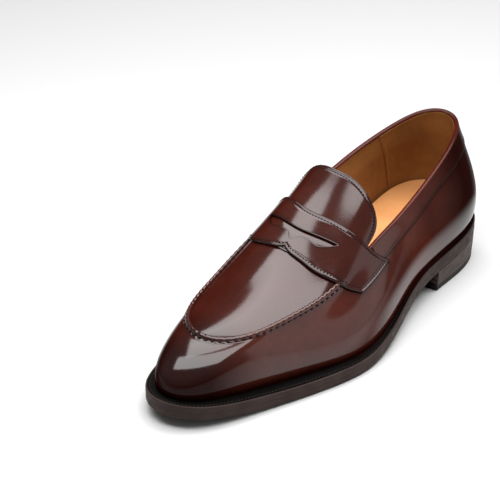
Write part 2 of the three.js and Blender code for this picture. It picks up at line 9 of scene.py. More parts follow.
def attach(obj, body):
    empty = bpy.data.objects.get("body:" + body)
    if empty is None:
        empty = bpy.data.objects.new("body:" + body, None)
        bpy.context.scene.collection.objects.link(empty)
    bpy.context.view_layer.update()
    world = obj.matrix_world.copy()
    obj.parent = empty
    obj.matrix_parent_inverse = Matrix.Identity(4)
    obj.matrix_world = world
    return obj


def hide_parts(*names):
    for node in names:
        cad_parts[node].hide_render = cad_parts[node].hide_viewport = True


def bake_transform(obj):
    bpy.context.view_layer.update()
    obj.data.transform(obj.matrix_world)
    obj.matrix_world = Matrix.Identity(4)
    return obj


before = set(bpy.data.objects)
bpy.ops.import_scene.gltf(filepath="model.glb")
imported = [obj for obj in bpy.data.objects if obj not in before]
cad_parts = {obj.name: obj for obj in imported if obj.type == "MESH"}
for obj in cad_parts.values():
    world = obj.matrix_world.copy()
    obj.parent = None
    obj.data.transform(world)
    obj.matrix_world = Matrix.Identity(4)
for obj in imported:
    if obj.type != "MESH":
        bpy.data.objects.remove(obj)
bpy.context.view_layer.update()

# ---------------------------------------------------------------- sizes, in millimetres, as in the CAD part
# Places on the upper are given by (station, across): station 0 is the tip of the toe and 10.5 the
# back of the heel. Across runs from -2 at the medial foot of the wall, over the seams at -1 and +1,
# to +2 at the lateral foot. On the wall alone, u goes round the shoe from the heel and v up the wall.

MM = 0.001
CENTRE = np.array([7.4, 4.4, 0.0])

TOE_SPRING = 8.9
BALL_Y = -55
WAIST_Y = -32
BREAST_Y = 76
HEEL_BREAST = 13.0
HEEL_BACK = 20.0
PITCH_FROM = 30
PITCH_TO = 150
OUTSOLE = 4.8
WELT_TOP = 9.2
UPPER_LIFT = 0.5
HEEL_SEAT_RISE = 2.5
INSOLE = 2.0
HEEL_PAD = 6.0
TOP_PIECE = 4.0
LIFT = 3.2
HEEL_TAPER = 0.8
UPPER = 1.4
LINING = 0.9
STRAP = 1.7
STRAP_LIFT = 0.45
STRAP_END = 1.34
STRAP_FRONT = 3.55
STRAP_REAR = 4.77
SLOT_REAR = 4.21
SLOT_MIDDLE = -0.05
SLOT_HALF = 0.71
TONGUE_END = 6.2
GAP = 0.3

SOLE_EDGE = np.array([
    (0, 155.5), (24.5, 151), (37.5, 123.5), (38, 87), (42, 51), (54, 15), (62, -22),
    (53, -57), (39, -95), (27, -129), (10, -146), (-12, -146), (-27, -130), (-40, -92),
    (-47, -54), (-38, -14), (-28, 24), (-28, 64), (-34, 100), (-36, 128), (-24, 150.5)], float)
FOOT_INSET = np.array([
    1.5, 1.5, 2, 2, 3, 3.5, 6,
    9, 9.5, 8, 7, 7, 6, 6,
    5, 5, 3, 2, 2, 2, 2], float)
WALL_EDGE = np.array([
    (-1, 148, 96), (15, 138, 93), (24, 110, 86), (29, 75, 76), (32, 42, 67), (33, 14, 62), (34, -7, 54),
    (35, -33, 47), (31, -63, 45), (24, -92, 42), (8, -110, 41), (-14, -108, 42), (-30, -88, 40), (-37, -57, 42),
    (-38, -29, 51), (-36, -6, 60), (-36, 16, 68), (-34, 43, 70), (-34, 76, 78), (-28, 111, 87), (-18, 139, 95)], float)
TONGUE_MEDIAL = [(-33, 52, 89), (-35, 34, 79)]
TONGUE_LATERAL = [(31, 32, 73), (30, 50, 83)]
RIDGE = np.array([(-112, 42.5), (-90, 46.5), (-60, 52.5), (-30, 63), (-6, 75.5), (12, 85.5), (28, 96), (46, 108)])
WALL_BULGE = np.array([6, 7, 5.5, 3.5, 3, 3, 3, 3, 3, 3, 3, 3, 3, 3, 2.5, 2, 2, 2.5, 3, 4.5, 6])
LOW_RISE = np.array([
    0.3, 0.3, 0.3, 0.35, 0.45, 0.5, 0.5,
    0.55, 0.6, 0.6, 0.6, 0.6, 0.6, 0.6,
    0.55, 0.5, 0.5, 0.45, 0.4, 0.35, 0.3])
HIGH_RUN = np.array([
    0.55, 0.55, 0.55, 0.5, 0.5, 0.5, 0.4,
    0.4, 0.4, 0.45, 0.45, 0.45, 0.45, 0.4,
    0.4, 0.4, 0.5, 0.5, 0.5, 0.5, 0.55])
HIGH_DROP = np.array([
    0.3, 0.3, 0.3, 0.3, 0.3, 0.3, 0.28,
    0.28, 0.18, 0.12, 0.1, 0.11, 0.15, 0.22,
    0.25, 0.28, 0.3, 0.3, 0.3, 0.3, 0.3])
COUNT = len(SOLE_EDGE)
HALF = COUNT / 2
ARCH_LATERAL = 2.4
ARCH_MEDIAL = 3.6


# ---------------------------------------------------------------- curves and the skin of the upper

def unit(v):
    return v / (np.linalg.norm(v, axis=-1, keepdims=True) + 1e-12)


def spline_weights(t):
    return np.stack([(1 - t) ** 3, 3 * t ** 3 - 6 * t ** 2 + 4, -3 * t ** 3 + 3 * t ** 2 + 3 * t + 1, t ** 3], -1) / 6


def on_loop(points, u):
    u = np.asarray(u, float)
    i = np.floor(u).astype(int)
    w = spline_weights(u - i)
    return sum(w[..., k, None] * points[(i - 1 + k) % len(points)] for k in range(4))


def on_rail(points, u):
    ends = np.vstack([2 * points[0] - points[1], points, 2 * points[-1] - points[-2]])
    u = np.asarray(u, float) + 1
    i = np.clip(np.floor(u).astype(int), 1, len(ends) - 3)
    w = spline_weights(u - i)
    return sum(w[..., k, None] * ends[i - 1 + k] for k in range(4))


def underside(y):
    ahead = np.maximum(0, BALL_Y - y) / 100
    rise = np.clip((y - WAIST_Y) / (BREAST_Y - WAIST_Y), 0, 1)
    pitch = np.clip((y - PITCH_FROM) / (PITCH_TO - PITCH_FROM), 0, 1)
    return TOE_SPRING * ahead ** 2 + HEEL_BREAST * rise ** 2 * (3 - 2 * rise) + (HEEL_BACK - HEEL_BREAST) * pitch ** 2


def seat(y):
    back = np.clip((y - 10) / 80, 0, 1)
    return underside(y) + WELT_TOP + UPPER_LIFT + HEEL_SEAT_RISE * back ** 2 * (3 - 2 * back)


def outward_of(points):
    d = unit(np.roll(points, -1, 0) - np.roll(points, 1, 0))
    return np.stack([-d[:, 1], d[:, 0]], 1)


OUTWARD = outward_of(SOLE_EDGE)


def inset_edge(inset):
    return SOLE_EDGE - OUTWARD * np.broadcast_to(np.asarray(inset, float), COUNT)[:, None]


def make_wall():
    plan = inset_edge(FOOT_INSET)
    foot = np.column_stack([plan, seat(plan[:, 1])])
    rise = (WALL_EDGE[:, 2] - foot[:, 2])[:, None]
    out = np.column_stack([OUTWARD, np.zeros(COUNT)])
    low = foot + out * WALL_BULGE[:, None] + np.array([0, 0, 1]) * LOW_RISE[:, None] * rise
    share = np.column_stack([HIGH_RUN, HIGH_RUN, HIGH_DROP])
    return foot, low, WALL_EDGE + (foot - WALL_EDGE) * share


WALL_FOOT, WALL_LOW, WALL_HIGH = make_wall()
TOP_RAIL = np.vstack([TONGUE_MEDIAL, WALL_EDGE[16:4:-1], TONGUE_LATERAL]).astype(float)
TOE_ON_RAIL = (len(TOP_RAIL) - 1) / 2


def wall_with_edge(u, v, edge):
    v = np.asarray(v, float)[..., None]
    high = on_loop(WALL_HIGH, u) - on_loop(WALL_EDGE, u) + edge
    low_part = (1 - v) ** 3 * on_loop(WALL_FOOT, u) + 3 * v * (1 - v) ** 2 * on_loop(WALL_LOW, u)
    return low_part + 3 * v * v * (1 - v) * high + v ** 3 * edge


def wall(u, v):
    return wall_with_edge(u, v, on_loop(WALL_EDGE, u))


RIDGE_LINE = on_rail(RIDGE, np.linspace(0, len(RIDGE) - 1, 400))


def crown(station, across):
    lateral = on_rail(TOP_RAIL, TOE_ON_RAIL + station)
    medial = on_rail(TOP_RAIL, TOE_ON_RAIL - station)
    middle = (lateral + medial) / 2
    lift = np.maximum(0, np.interp(middle[..., 1], RIDGE_LINE[:, 0], RIDGE_LINE[:, 1]) - middle[..., 2])
    fuller = np.clip((station - 2.5) / 2, 0, 1)
    power = np.where(across < 0, ARCH_LATERAL + (ARCH_MEDIAL - ARCH_LATERAL) * fuller, ARCH_LATERAL)
    point = medial + (lateral - medial) * ((1 + across) / 2)[..., None]
    point[..., 2] += lift * (1 - np.abs(across) ** power)
    return point


def skin(station, across):
    station, across = np.broadcast_arrays(np.asarray(station, float), np.asarray(across, float))
    out = np.zeros(station.shape + (3,))
    on_top = np.abs(across) <= 1
    if on_top.any():
        out[on_top] = crown(station[on_top], across[on_top])
    for side in (1, -1):
        here = across * side > 1
        if here.any():
            s = station[here]
            edge = on_rail(TOP_RAIL, TOE_ON_RAIL + side * s)
            out[here] = wall_with_edge(HALF - side * s, 2 - np.abs(across[here]), edge)
    return out


def skin_normal(station, across):
    h = 0.02
    station = np.maximum(np.asarray(station, float), h)
    along = skin(station + h, across) - skin(station - h, across)
    over = skin(station, np.minimum(across + h, 2)) - skin(station, np.maximum(across - h, -2))
    return unit(np.cross(over, along))


def wall_normal(u, v):
    h = 0.02
    v = np.asarray(v, float)
    along = wall(u + h, v) - wall(u - h, v)
    up = wall(u, np.minimum(v + h, 1)) - wall(u, np.maximum(v - h, 0))
    n = unit(np.cross(up, along))
    n[..., 2] *= np.clip(v / 0.3, 0, 1)
    return unit(n)


# ---------------------------------------------------------------- mesh building

def new_object(name, verts, faces, material, body="shoe", sharp=38):
    mesh = bpy.data.meshes.new(name)
    mesh.from_pydata(((np.asarray(verts) - CENTRE) * MM).tolist(), [], faces)
    mesh.validate()
    mesh.polygons.foreach_set("use_smooth", [True] * len(mesh.polygons))
    mesh.set_sharp_from_angle(angle=math.radians(sharp))
    mesh.materials.append(material)
    obj = bpy.data.objects.new(name, mesh)
    bpy.context.scene.collection.objects.link(obj)
    if body:
        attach(obj, body)
    return obj


def grid_faces(rows, cols, loop=False, start=0, flip=False):
    i, j = np.meshgrid(np.arange(rows if loop else rows - 1), np.arange(cols - 1), indexing="ij")
    i, j = i.ravel(), j.ravel()
    k = (i + 1) % rows
    quads = np.stack([i * cols + j, k * cols + j, k * cols + j + 1, i * cols + j + 1], 1) + start
    return (quads[:, ::-1] if flip else quads).tolist()


def shell_faces(rows, cols, loop=False):
    """Faces of two face-to-face grids joined round their rims."""
    n = rows * cols
    faces = grid_faces(rows, cols, loop) + grid_faces(rows, cols, loop, n, True)
    at = lambda layer, i, j: layer * n + (i % rows) * cols + j
    for i in range(rows if loop else rows - 1):
        faces.append([at(0, i, 0), at(1, i, 0), at(1, i + 1, 0), at(0, i + 1, 0)])
        faces.append([at(0, i, cols - 1), at(0, i + 1, cols - 1), at(1, i + 1, cols - 1), at(1, i, cols - 1)])
    for j in range(cols - 1 if not loop else 0):
        faces.append([at(0, 0, j), at(0, 0, j + 1), at(1, 0, j + 1), at(1, 0, j)])
        faces.append([at(0, rows - 1, j), at(1, rows - 1, j), at(1, rows - 1, j + 1), at(0, rows - 1, j + 1)])
    return faces


def facing_out(verts, faces):
    """The same faces, all turned over if they face inwards."""
    quads = np.array([f for f in faces if len(f) == 4])
    a, b, c, d = (np.asarray(verts)[quads[:, k]] for k in range(4))
    volume = (a * np.cross(b, c)).sum() + (a * np.cross(c, d)).sum()
    return faces if volume > 0 else [f[::-1] for f in faces]


def border_distance(p, sides, loop=False):
    """Distance in millimetres of each grid point from the chosen borders: any of r0, r1, c0, c1."""
    far = np.full(p.shape[:2], 1e3)
    for axis, names in ((0, ("r0", "r1")), (1, ("c0", "c1"))):
        if axis == 0 and loop:
            continue
        gaps = np.linalg.norm(np.diff(p, axis=axis), axis=-1)
        zero = np.zeros_like(np.take(gaps, [0], axis=axis))
        run = np.concatenate([zero, np.cumsum(gaps, axis=axis)], axis=axis)
        total = np.take(run, [-1], axis=axis)
        if names[0] in sides:
            far = np.minimum(far, run)
        if names[1] in sides:
            far = np.minimum(far, total - run)
    return far


def round_drop(distance, radius):
    x = np.clip(1 - distance / radius, 0, 1)
    return radius * (1 - np.sqrt(1 - x * x * 0.98))


def dense_ends(n, near=(0.0, 0.002, 0.006, 0.012, 0.02, 0.032)):
    """Shares from 0 to 1, crowded near both ends for rounded edges."""
    near = np.array(near)
    return np.concatenate([near, np.linspace(near[-1], 1 - near[-1], n)[1:-1], 1 - near[::-1]])


def paint(obj, name, values):
    """A value at each point of a mesh, which its material reads by name."""
    attribute = obj.data.attributes.new(name, "FLOAT", "POINT")
    attribute.data.foreach_set("value", np.ravel(values).astype(np.float32))


def leather(name, p, n, outer, inner, material, sides="r0r1c0c1", radius=0.6, grooves=(), loop=False, body="shoe"):
    """A leather piece between two distances from a surface, with rounded rims and pressed grooves."""
    e = border_distance(p, sides, loop)
    drop = round_drop(e, radius)
    for place, depth, width in grooves:
        drop = drop + depth * np.exp(-((e - place) / width) ** 2)
    top = p + n * (outer - drop)[..., None]
    thickness = np.maximum(inner + 0 * e, inner + round_drop(e, radius * 0.5))
    bottom = p + n * thickness[..., None]
    verts = np.concatenate([top.reshape(-1, 3), bottom.reshape(-1, 3)])
    faces = facing_out(verts, shell_faces(p.shape[0], p.shape[1], loop))
    obj = new_object(name, verts, faces, material, body)
    paint(obj, "rim_and_painted_shade", np.tile(np.exp(-e.ravel() / 2.0), 2))
    return obj


def resample(points, normals, pitch):
    """Middles of equal steps along a line, with direction and normal at each."""
    d = np.linalg.norm(np.diff(points, axis=0), axis=1)
    s = np.concatenate([[0], np.cumsum(d)])
    count = max(1, int(round(s[-1] / pitch)))
    mids = (np.arange(count) + 0.5) * s[-1] / count
    at = lambda q, arr: np.stack([np.interp(q, s, arr[:, k]) for k in range(3)], 1)
    ahead = at(np.minimum(mids + 0.5, s[-1]), points) - at(np.maximum(mids - 0.5, 0), points)
    return at(mids, points), unit(ahead), unit(at(mids, normals))


def stitches(name, lines, pitch, length, radius, material, sink=0.35, slant=0.0, body="shoe", lift=0.0):
    """Rows of single stitches. lines is a list of (points, normals). Each stitch is a short rounded bar
    whose ends dive into the leather."""
    around, along = 8, 7
    verts, faces = [], []
    phi = np.linspace(0, 2 * np.pi, around, endpoint=False)
    s = np.linspace(-1, 1, along)
    fat = np.sqrt(np.maximum(0.02, 1 - np.abs(s) ** 4))
    for points, normals in lines:
        mid, tangent, normal = resample(points, normals, pitch)
        side = unit(np.cross(normal, tangent))
        c, k = math.cos(slant), math.sin(slant)
        run = tangent * c + side * k
        cross = unit(np.cross(normal, run))
        for m, t, b, n in zip(mid, run, cross, normal):
            base = len(verts)
            for si, fi in zip(s, fat):
                centre = m + t * si * length / 2 + n * (lift - radius * sink - radius * 0.9 * si ** 4)
                for a in phi:
                    verts.append(centre + (b * math.cos(a) + n * math.sin(a)) * radius * fi)
            for i in range(along - 1):
                for j in range(around):
                    q = base + i * around
                    faces.append([q + j, q + (j + 1) % around, q + around + (j + 1) % around, q + around + j])
            faces.append([base + j for j in range(around)][::-1])
            faces.append([base + (along - 1) * around + j for j in range(around)])
    verts = np.array(verts)
    first = faces[: (along - 1) * around + 2]
    if facing_out(verts, first) is not first:
        faces = [f[::-1] for f in faces]
    return new_object(name, verts, faces, material, body, sharp=80)


# ---------------------------------------------------------------- materials

COAT_ROUGHNESS = 0.11
TOE_BURNISH = (-92, -128)
HEEL_BURNISH = (60, 115)


def material(name, base, roughness, metallic=0.0, coat=0.0, coat_roughness=0.1, ior=1.5, specular=0.5):
    mat = bpy.data.materials.new(name)
    mat.use_nodes = True
    bsdf = mat.node_tree.nodes["Principled BSDF"]
    bsdf.inputs["Base Color"].default_value = (*base, 1)
    bsdf.inputs["Roughness"].default_value = roughness
    bsdf.inputs["Metallic"].default_value = metallic
    bsdf.inputs["Coat Weight"].default_value = coat
    bsdf.inputs["Coat Roughness"].default_value = coat_roughness
    bsdf.inputs["IOR"].default_value = ior
    bsdf.inputs["Specular IOR Level"].default_value = specular
    mat.diffuse_color = (*base, 1)
    return mat


class Nodes:
    """Short names for the nodes that the materials share."""

    def __init__(self, mat):
        self.tree = mat.node_tree
        self.bsdf = self.tree.nodes["Principled BSDF"]
        self.coords = self.add("ShaderNodeTexCoord").outputs["Object"]

    def add(self, kind, **settings):
        node = self.tree.nodes.new(kind)
        for key, value in settings.items():
            setattr(node, key, value)
        return node

    def link(self, a, b):
        self.tree.links.new(a, b)

    def put(self, socket, value):
        if isinstance(value, (int, float, tuple)):
            socket.default_value = value
        else:
            self.link(value, socket)

    def noise(self, size_mm, detail=3.0, roughness=0.5, stretch=None):
        node = self.add("ShaderNodeTexNoise")
        node.inputs["Scale"].default_value = 1 / (size_mm * MM)
        node.inputs["Detail"].default_value = detail
        node.inputs["Roughness"].default_value = roughness
        self.link(self.stretched(stretch), node.inputs["Vector"])
        return node.outputs["Fac"]

    def stretched(self, stretch):
        if stretch is None:
            return self.coords
        mapping = self.add("ShaderNodeMapping")
        mapping.inputs["Scale"].default_value = stretch
        self.link(self.coords, mapping.inputs["Vector"])
        return mapping.outputs["Vector"]

    def cells(self, size_mm, feature="F1", stretch=None):
        node = self.add("ShaderNodeTexVoronoi", feature=feature)
        node.inputs["Scale"].default_value = 1 / (size_mm * MM)
        self.link(self.stretched(stretch), node.inputs["Vector"])
        return node.outputs["Distance"]

    def spread(self, value, low, high, to_low=0.0, to_high=1.0):
        node = self.add("ShaderNodeMapRange")
        node.inputs["From Min"].default_value = low
        node.inputs["From Max"].default_value = high
        node.inputs["To Min"].default_value = to_low
        node.inputs["To Max"].default_value = to_high
        self.link(value, node.inputs["Value"])
        return node.outputs["Result"]

    def math(self, operation, a, b):
        node = self.add("ShaderNodeMath", operation=operation)
        self.put(node.inputs[0], a)
        self.put(node.inputs[1], b)
        return node.outputs[0]

    def mix(self, factor, a, b):
        node = self.add("ShaderNodeMix", data_type="RGBA")
        self.put(node.inputs["Factor"], factor)
        self.put(node.inputs["A"], (*a, 1) if isinstance(a, tuple) else a)
        self.put(node.inputs["B"], (*b, 1) if isinstance(b, tuple) else b)
        return node.outputs["Result"]

    def along(self, axis):
        node = self.add("ShaderNodeSeparateXYZ")
        self.link(self.coords, node.inputs[0])
        return node.outputs[axis]

    def under_toe(self, toe):
        """One all over, falling where the toe's wall turns down to the welt."""
        node = self.add("ShaderNodeSeparateXYZ")
        self.link(self.add("ShaderNodeNewGeometry").outputs["Normal"], node.inputs[0])
        steep = self.spread(node.outputs[2], 0.62, 0.3)
        return self.math("SUBTRACT", 1.0, self.math("MULTIPLY", self.math("MULTIPLY", steep, toe), 0.8))

    def attribute(self, name):
        return self.add("ShaderNodeAttribute", attribute_name=name).outputs["Fac"]

    def bump(self, height, distance_mm, strength=1.0, under=None):
        node = self.add("ShaderNodeBump")
        node.inputs["Strength"].default_value = strength
        node.inputs["Distance"].default_value = distance_mm * MM
        self.link(height, node.inputs["Height"])
        if under is not None:
            self.link(under, node.inputs["Normal"])
        return node.outputs["Normal"]

    def colour(self, value):
        self.link(value, self.bsdf.inputs["Base Color"])

    def roughness(self, value):
        self.link(value, self.bsdf.inputs["Roughness"])

    def normal(self, value, coat=False):
        self.link(value, self.bsdf.inputs["Normal"])
        if coat:
            self.link(value, self.bsdf.inputs["Coat Normal"])


def polished_leather(name, mid, warm, dark, roughness=0.3, coat=1.0, burnish=0.85, even=False):
    """Brushed and polished calf: a glaze over red-brown, cloudy where the polish was worked in, and
    burnished dark at the toe and at the heel. It is darker along each piece's rim; on the wall that
    darkening is painted shade along its foot and beside the apron seam. Where it's even, the glaze is as
    strong from every side."""
    mat = material(name, mid, roughness, coat=coat, coat_roughness=COAT_ROUGHNESS, ior=1.45, specular=0.0)
    n = Nodes(mat)
    cloud = n.spread(n.noise(38, 4, 0.55), 0.36, 0.66)
    fine = n.spread(n.noise(5.5, 5, 0.6), 0.3, 0.7)
    base = n.mix(cloud, mid, warm)
    base = n.mix(n.math("MULTIPLY", fine, 0.22), base, dark)
    along = n.along(1)
    toe = n.spread(along, TOE_BURNISH[0] * MM, TOE_BURNISH[1] * MM)
    heel = n.spread(along, HEEL_BURNISH[0] * MM, HEEL_BURNISH[1] * MM)
    ends = n.math("MULTIPLY", n.math("MAXIMUM", toe, heel), burnish)
    base = n.mix(ends, base, dark)
    # Darker along each piece's rim; on the wall these values are painted shade at its foot and beside the apron seam.
    base = n.mix(n.math("MULTIPLY", n.attribute("rim_and_painted_shade"), 0.85), base, dark)
    n.colour(base)
    n.roughness(n.spread(n.noise(22, 4, 0.6), 0.3, 0.7, roughness * 0.8, roughness * 1.35))
    if not even:
        facing = n.add("ShaderNodeLayerWeight").outputs["Facing"]
        near = n.spread(facing, 0.3, 0.52, coat, coat * 0.06)
        far = n.spread(facing, 0.66, 0.86, 0, coat)
        glaze = n.math("MULTIPLY", n.math("MAXIMUM", near, far), n.under_toe(toe))
        glaze = n.math("MULTIPLY", glaze, n.math("SUBTRACT", 1.0, n.attribute("dull")))
        n.link(n.math("MAXIMUM", glaze, n.attribute("shine")), n.bsdf.inputs["Coat Weight"])
    pores = n.bump(n.cells(0.75), 0.012, 0.35)
    wave = n.bump(n.noise(9, 3, 0.5), 0.06, 0.3, pores)
    n.normal(wave, coat=True)
    return mat


def plain_leather(name, light, dark, roughness, grain_mm=0.9, depth=0.05):
    """Unpolished lining leather with an open grain."""
    mat = material(name, light, roughness, specular=0.35)
    n = Nodes(mat)
    cloud = n.spread(n.noise(24, 5, 0.6), 0.3, 0.72)
    speck = n.spread(n.noise(1.3, 4, 0.65), 0.35, 0.7)
    base = n.mix(cloud, light, dark)
    n.colour(n.mix(n.math("MULTIPLY", speck, 0.3), base, dark))
    n.roughness(n.spread(n.noise(3, 3), 0.3, 0.7, roughness * 0.9, min(1.0, roughness * 1.15)))
    n.normal(n.bump(n.cells(grain_mm), depth, 0.5, n.bump(n.noise(6, 4), 0.12, 0.4)))
    return mat


def sole_leather(name, light, dark, roughness):
    """Dyed and burnished edge, with fine level fibres and small scuffs, and a near-black top: on the welt partly its
    own black and partly painted shade under the upper, on the heel rand painted shade.
    """
    mat = material(name, light, roughness, specular=0.06)
    n = Nodes(mat)
    fibre = n.noise(1.6, 5, 0.65, (0.12, 0.12, 1.6))
    cloud = n.spread(n.noise(14, 4, 0.6), 0.3, 0.7)
    base = n.mix(cloud, light, dark)
    base = n.mix(n.spread(fibre, 0.4, 0.75, 0.0, 0.25), base, dark)
    # Painted shade under the upper: the near-black top, which on the welt is also its own black.
    n.colour(n.mix(n.attribute("top"), base, (0.002, 0.0015, 0.0014)))
    n.roughness(n.spread(n.noise(5, 4), 0.3, 0.7, roughness * 0.8, min(1.0, roughness * 1.3)))
    n.normal(n.bump(fibre, 0.05, 0.25))
    return mat


def rubber(name, base):
    mat = material(name, base, 0.75, specular=0.3)
    n = Nodes(mat)
    grain = n.noise(0.5, 3, 0.7)
    n.colour(n.mix(n.spread(n.noise(12, 4), 0.3, 0.7), base, tuple(1.5 * c for c in base)))
    n.roughness(n.spread(grain, 0.3, 0.7, 0.65, 0.9))
    n.normal(n.bump(grain, 0.06, 0.6))
    return mat


def waxed_thread(name, light, dark):
    mat = material(name, light, 0.7, specular=0.2)
    n = Nodes(mat)
    twist = n.add("ShaderNodeTexWave", bands_direction="DIAGONAL")
    twist.inputs["Scale"].default_value = 1 / (1.9 * MM)
    twist.inputs["Distortion"].default_value = 1.5
    n.link(n.coords, twist.inputs["Vector"])
    n.colour(n.mix(n.spread(twist.outputs["Fac"], 0.2, 0.9), dark, light))
    n.roughness(n.spread(n.noise(1.0), 0.3, 0.7, 0.6, 0.8))
    n.normal(n.bump(twist.outputs["Fac"], 0.08, 0.8))
    return mat


def metal(name, base, roughness, streak):
    mat = material(name, base, roughness, metallic=1.0)
    n = Nodes(mat)
    lines = n.noise(0.8, 4, 0.6, streak)
    n.colour(n.mix(n.spread(lines, 0.35, 0.7, 0.0, 0.5), base, tuple(0.6 * c for c in base)))
    n.roughness(n.spread(lines, 0.3, 0.7, roughness * 0.8, roughness * 1.4))
    n.normal(n.bump(lines, 0.02, 0.4))
    return mat


def granular(name, light, dark, size_mm):
    """Pressed cork or fibre board."""
    mat = material(name, light, 0.9, specular=0.2)
    n = Nodes(mat)
    grain = n.cells(size_mm)
    n.colour(n.mix(n.spread(grain, 0.1, 0.6), dark, light))
    n.roughness(n.spread(n.noise(size_mm * 2), 0.3, 0.7, 0.8, 0.95))
    n.normal(n.bump(grain, 0.15, 0.7))
    return mat


UPPER_LEATHER = polished_leather("upper_leather", (0.032, 0.0050, 0.0027), (0.046, 0.0080, 0.0045), (0.006, 0.0009, 0.0007))
# Painted light: the wall, the collar band and the apron's bead get a lighter copy of the same leather than the apron,
# strap and tongue, so these parts come out lighter.
COLLAR_LEATHER_PAINTED_LIGHTER = polished_leather("collar_leather_painted_lighter", (0.044, 0.0074, 0.0040), (0.068, 0.0126, 0.0070), (0.006, 0.0009, 0.0007))
WALL_LEATHER_PAINTED_LIGHTER = polished_leather("upper_wall_leather_painted_lighter", (0.044, 0.0074, 0.0040), (0.068, 0.0126, 0.0070), (0.006, 0.0009, 0.0007))
BEAD_LEATHER_PAINTED_LIGHTER = polished_leather("apron_bead_leather_painted_lighter", (0.044, 0.0074, 0.0040), (0.068, 0.0126, 0.0070), (0.006, 0.0009, 0.0007), even=True)
BINDING_LEATHER = polished_leather("binding_leather", (0.066, 0.0105, 0.0055), (0.095, 0.016, 0.009), (0.02, 0.003, 0.002), 0.4, 0.3, 0.4)
LINING_LEATHER = plain_leather("lining_leather", (0.27, 0.105, 0.021), (0.18, 0.064, 0.012), 0.65)
SOCK_LEATHER = plain_leather("sock_leather", (0.74, 0.345, 0.125), (0.58, 0.25, 0.085), 0.5, 0.7, 0.04)
WELT_LEATHER = sole_leather("welt_leather", (0.054, 0.038, 0.034), (0.036, 0.0245, 0.022), 0.5)
HEEL_LEATHER = sole_leather("heel_leather", (0.088, 0.070, 0.064), (0.066, 0.051, 0.046), 0.5)
EDGE_LEATHER = sole_leather("sole_leather", (0.054, 0.038, 0.034), (0.036, 0.0245, 0.022), 0.5)
HEEL_RUBBER = rubber("heel_rubber", (0.014, 0.012, 0.011))
DARK_THREAD = waxed_thread("thread", (0.010, 0.003, 0.002), (0.003, 0.001, 0.001))
WELT_THREAD = waxed_thread("welt_thread", (0.03, 0.02, 0.017), (0.008, 0.005, 0.004))
TAN_THREAD = waxed_thread("tan_thread", (0.40, 0.21, 0.09), (0.22, 0.10, 0.04))
FIBRE_BOARD = granular("fibre_board", (0.42, 0.30, 0.17), (0.26, 0.17, 0.09), 0.9)
CORK = granular("cork", (0.24, 0.13, 0.06), (0.09, 0.045, 0.02), 2.2)
STEEL = metal("shank_steel", (0.55, 0.55, 0.57), 0.35, (6, 0.3, 6))
BRASS = metal("nail_brass", (0.70, 0.50, 0.22), 0.3, (1, 1, 0.2))


# ---------------------------------------------------------------- outlines of the upper's pieces

def strap_rear(a):
    return STRAP_REAR + 0.55 * a ** 2


def strap_front(a):
    flare = 1.5 * np.maximum(0, np.abs(a) - 0.5) ** 2
    return STRAP_FRONT + flare + 0.12 * np.exp(-np.abs(a - SLOT_MIDDLE) / 0.11)


def slot_rear(a):
    return SLOT_REAR + np.where(a < 0, 0.38, 0.6) * a ** 2


def slot_front(a):
    off = a - SLOT_MIDDLE
    lens = 0.15 * (1 - np.abs(off / SLOT_HALF) ** 8)
    cusp = 0.17 * np.exp(-((off / 0.09) ** 2))
    lobes = 0.08 * np.exp(-(((np.abs(off) - 0.48) / 0.12) ** 2))
    closing = np.clip((SLOT_HALF - np.abs(off)) / 0.06, 0, 1)
    return slot_rear(a) - (lens + cusp + lobes) * closing ** 0.5


TONGUE_HALF = 0.97
TONGUE_ROOT = 4.5


def tongue_end(share):
    return TONGUE_ROOT + (TONGUE_END - TONGUE_ROOT) * (1 - np.abs(share) ** 8) ** (1 / 8)


# ---------------------------------------------------------------- the upper

SEAM_PITCH = 4.5 # one hand stitch of the apron seam
SEAM_FROM = HALF - 5.2
SEAM_TO = HALF + 5.2


def seam_line(reach=4.9, count=900):
    """Points of the apron seam from lateral to medial, with the wall's and the crown's normals averaged."""
    u = np.linspace(HALF - reach, HALF + reach, count)
    p = on_loop(WALL_EDGE, u)
    station = np.abs(HALF - u)
    across = np.where(u < HALF, 0.98, -0.98)
    n = unit(wall_normal(u, np.ones_like(u)) + skin_normal(np.maximum(station, 0.05), across))
    return u, p, n


LOW_SHINE = (0.2, 0.38)
SHINE_FROM = -40
SHINE_RUN = 60
DULL_FROM = 25
DULL_RUN = 50


def fade(t):
    t = np.clip(t, 0, 1)
    return t * t * (3 - 2 * t)


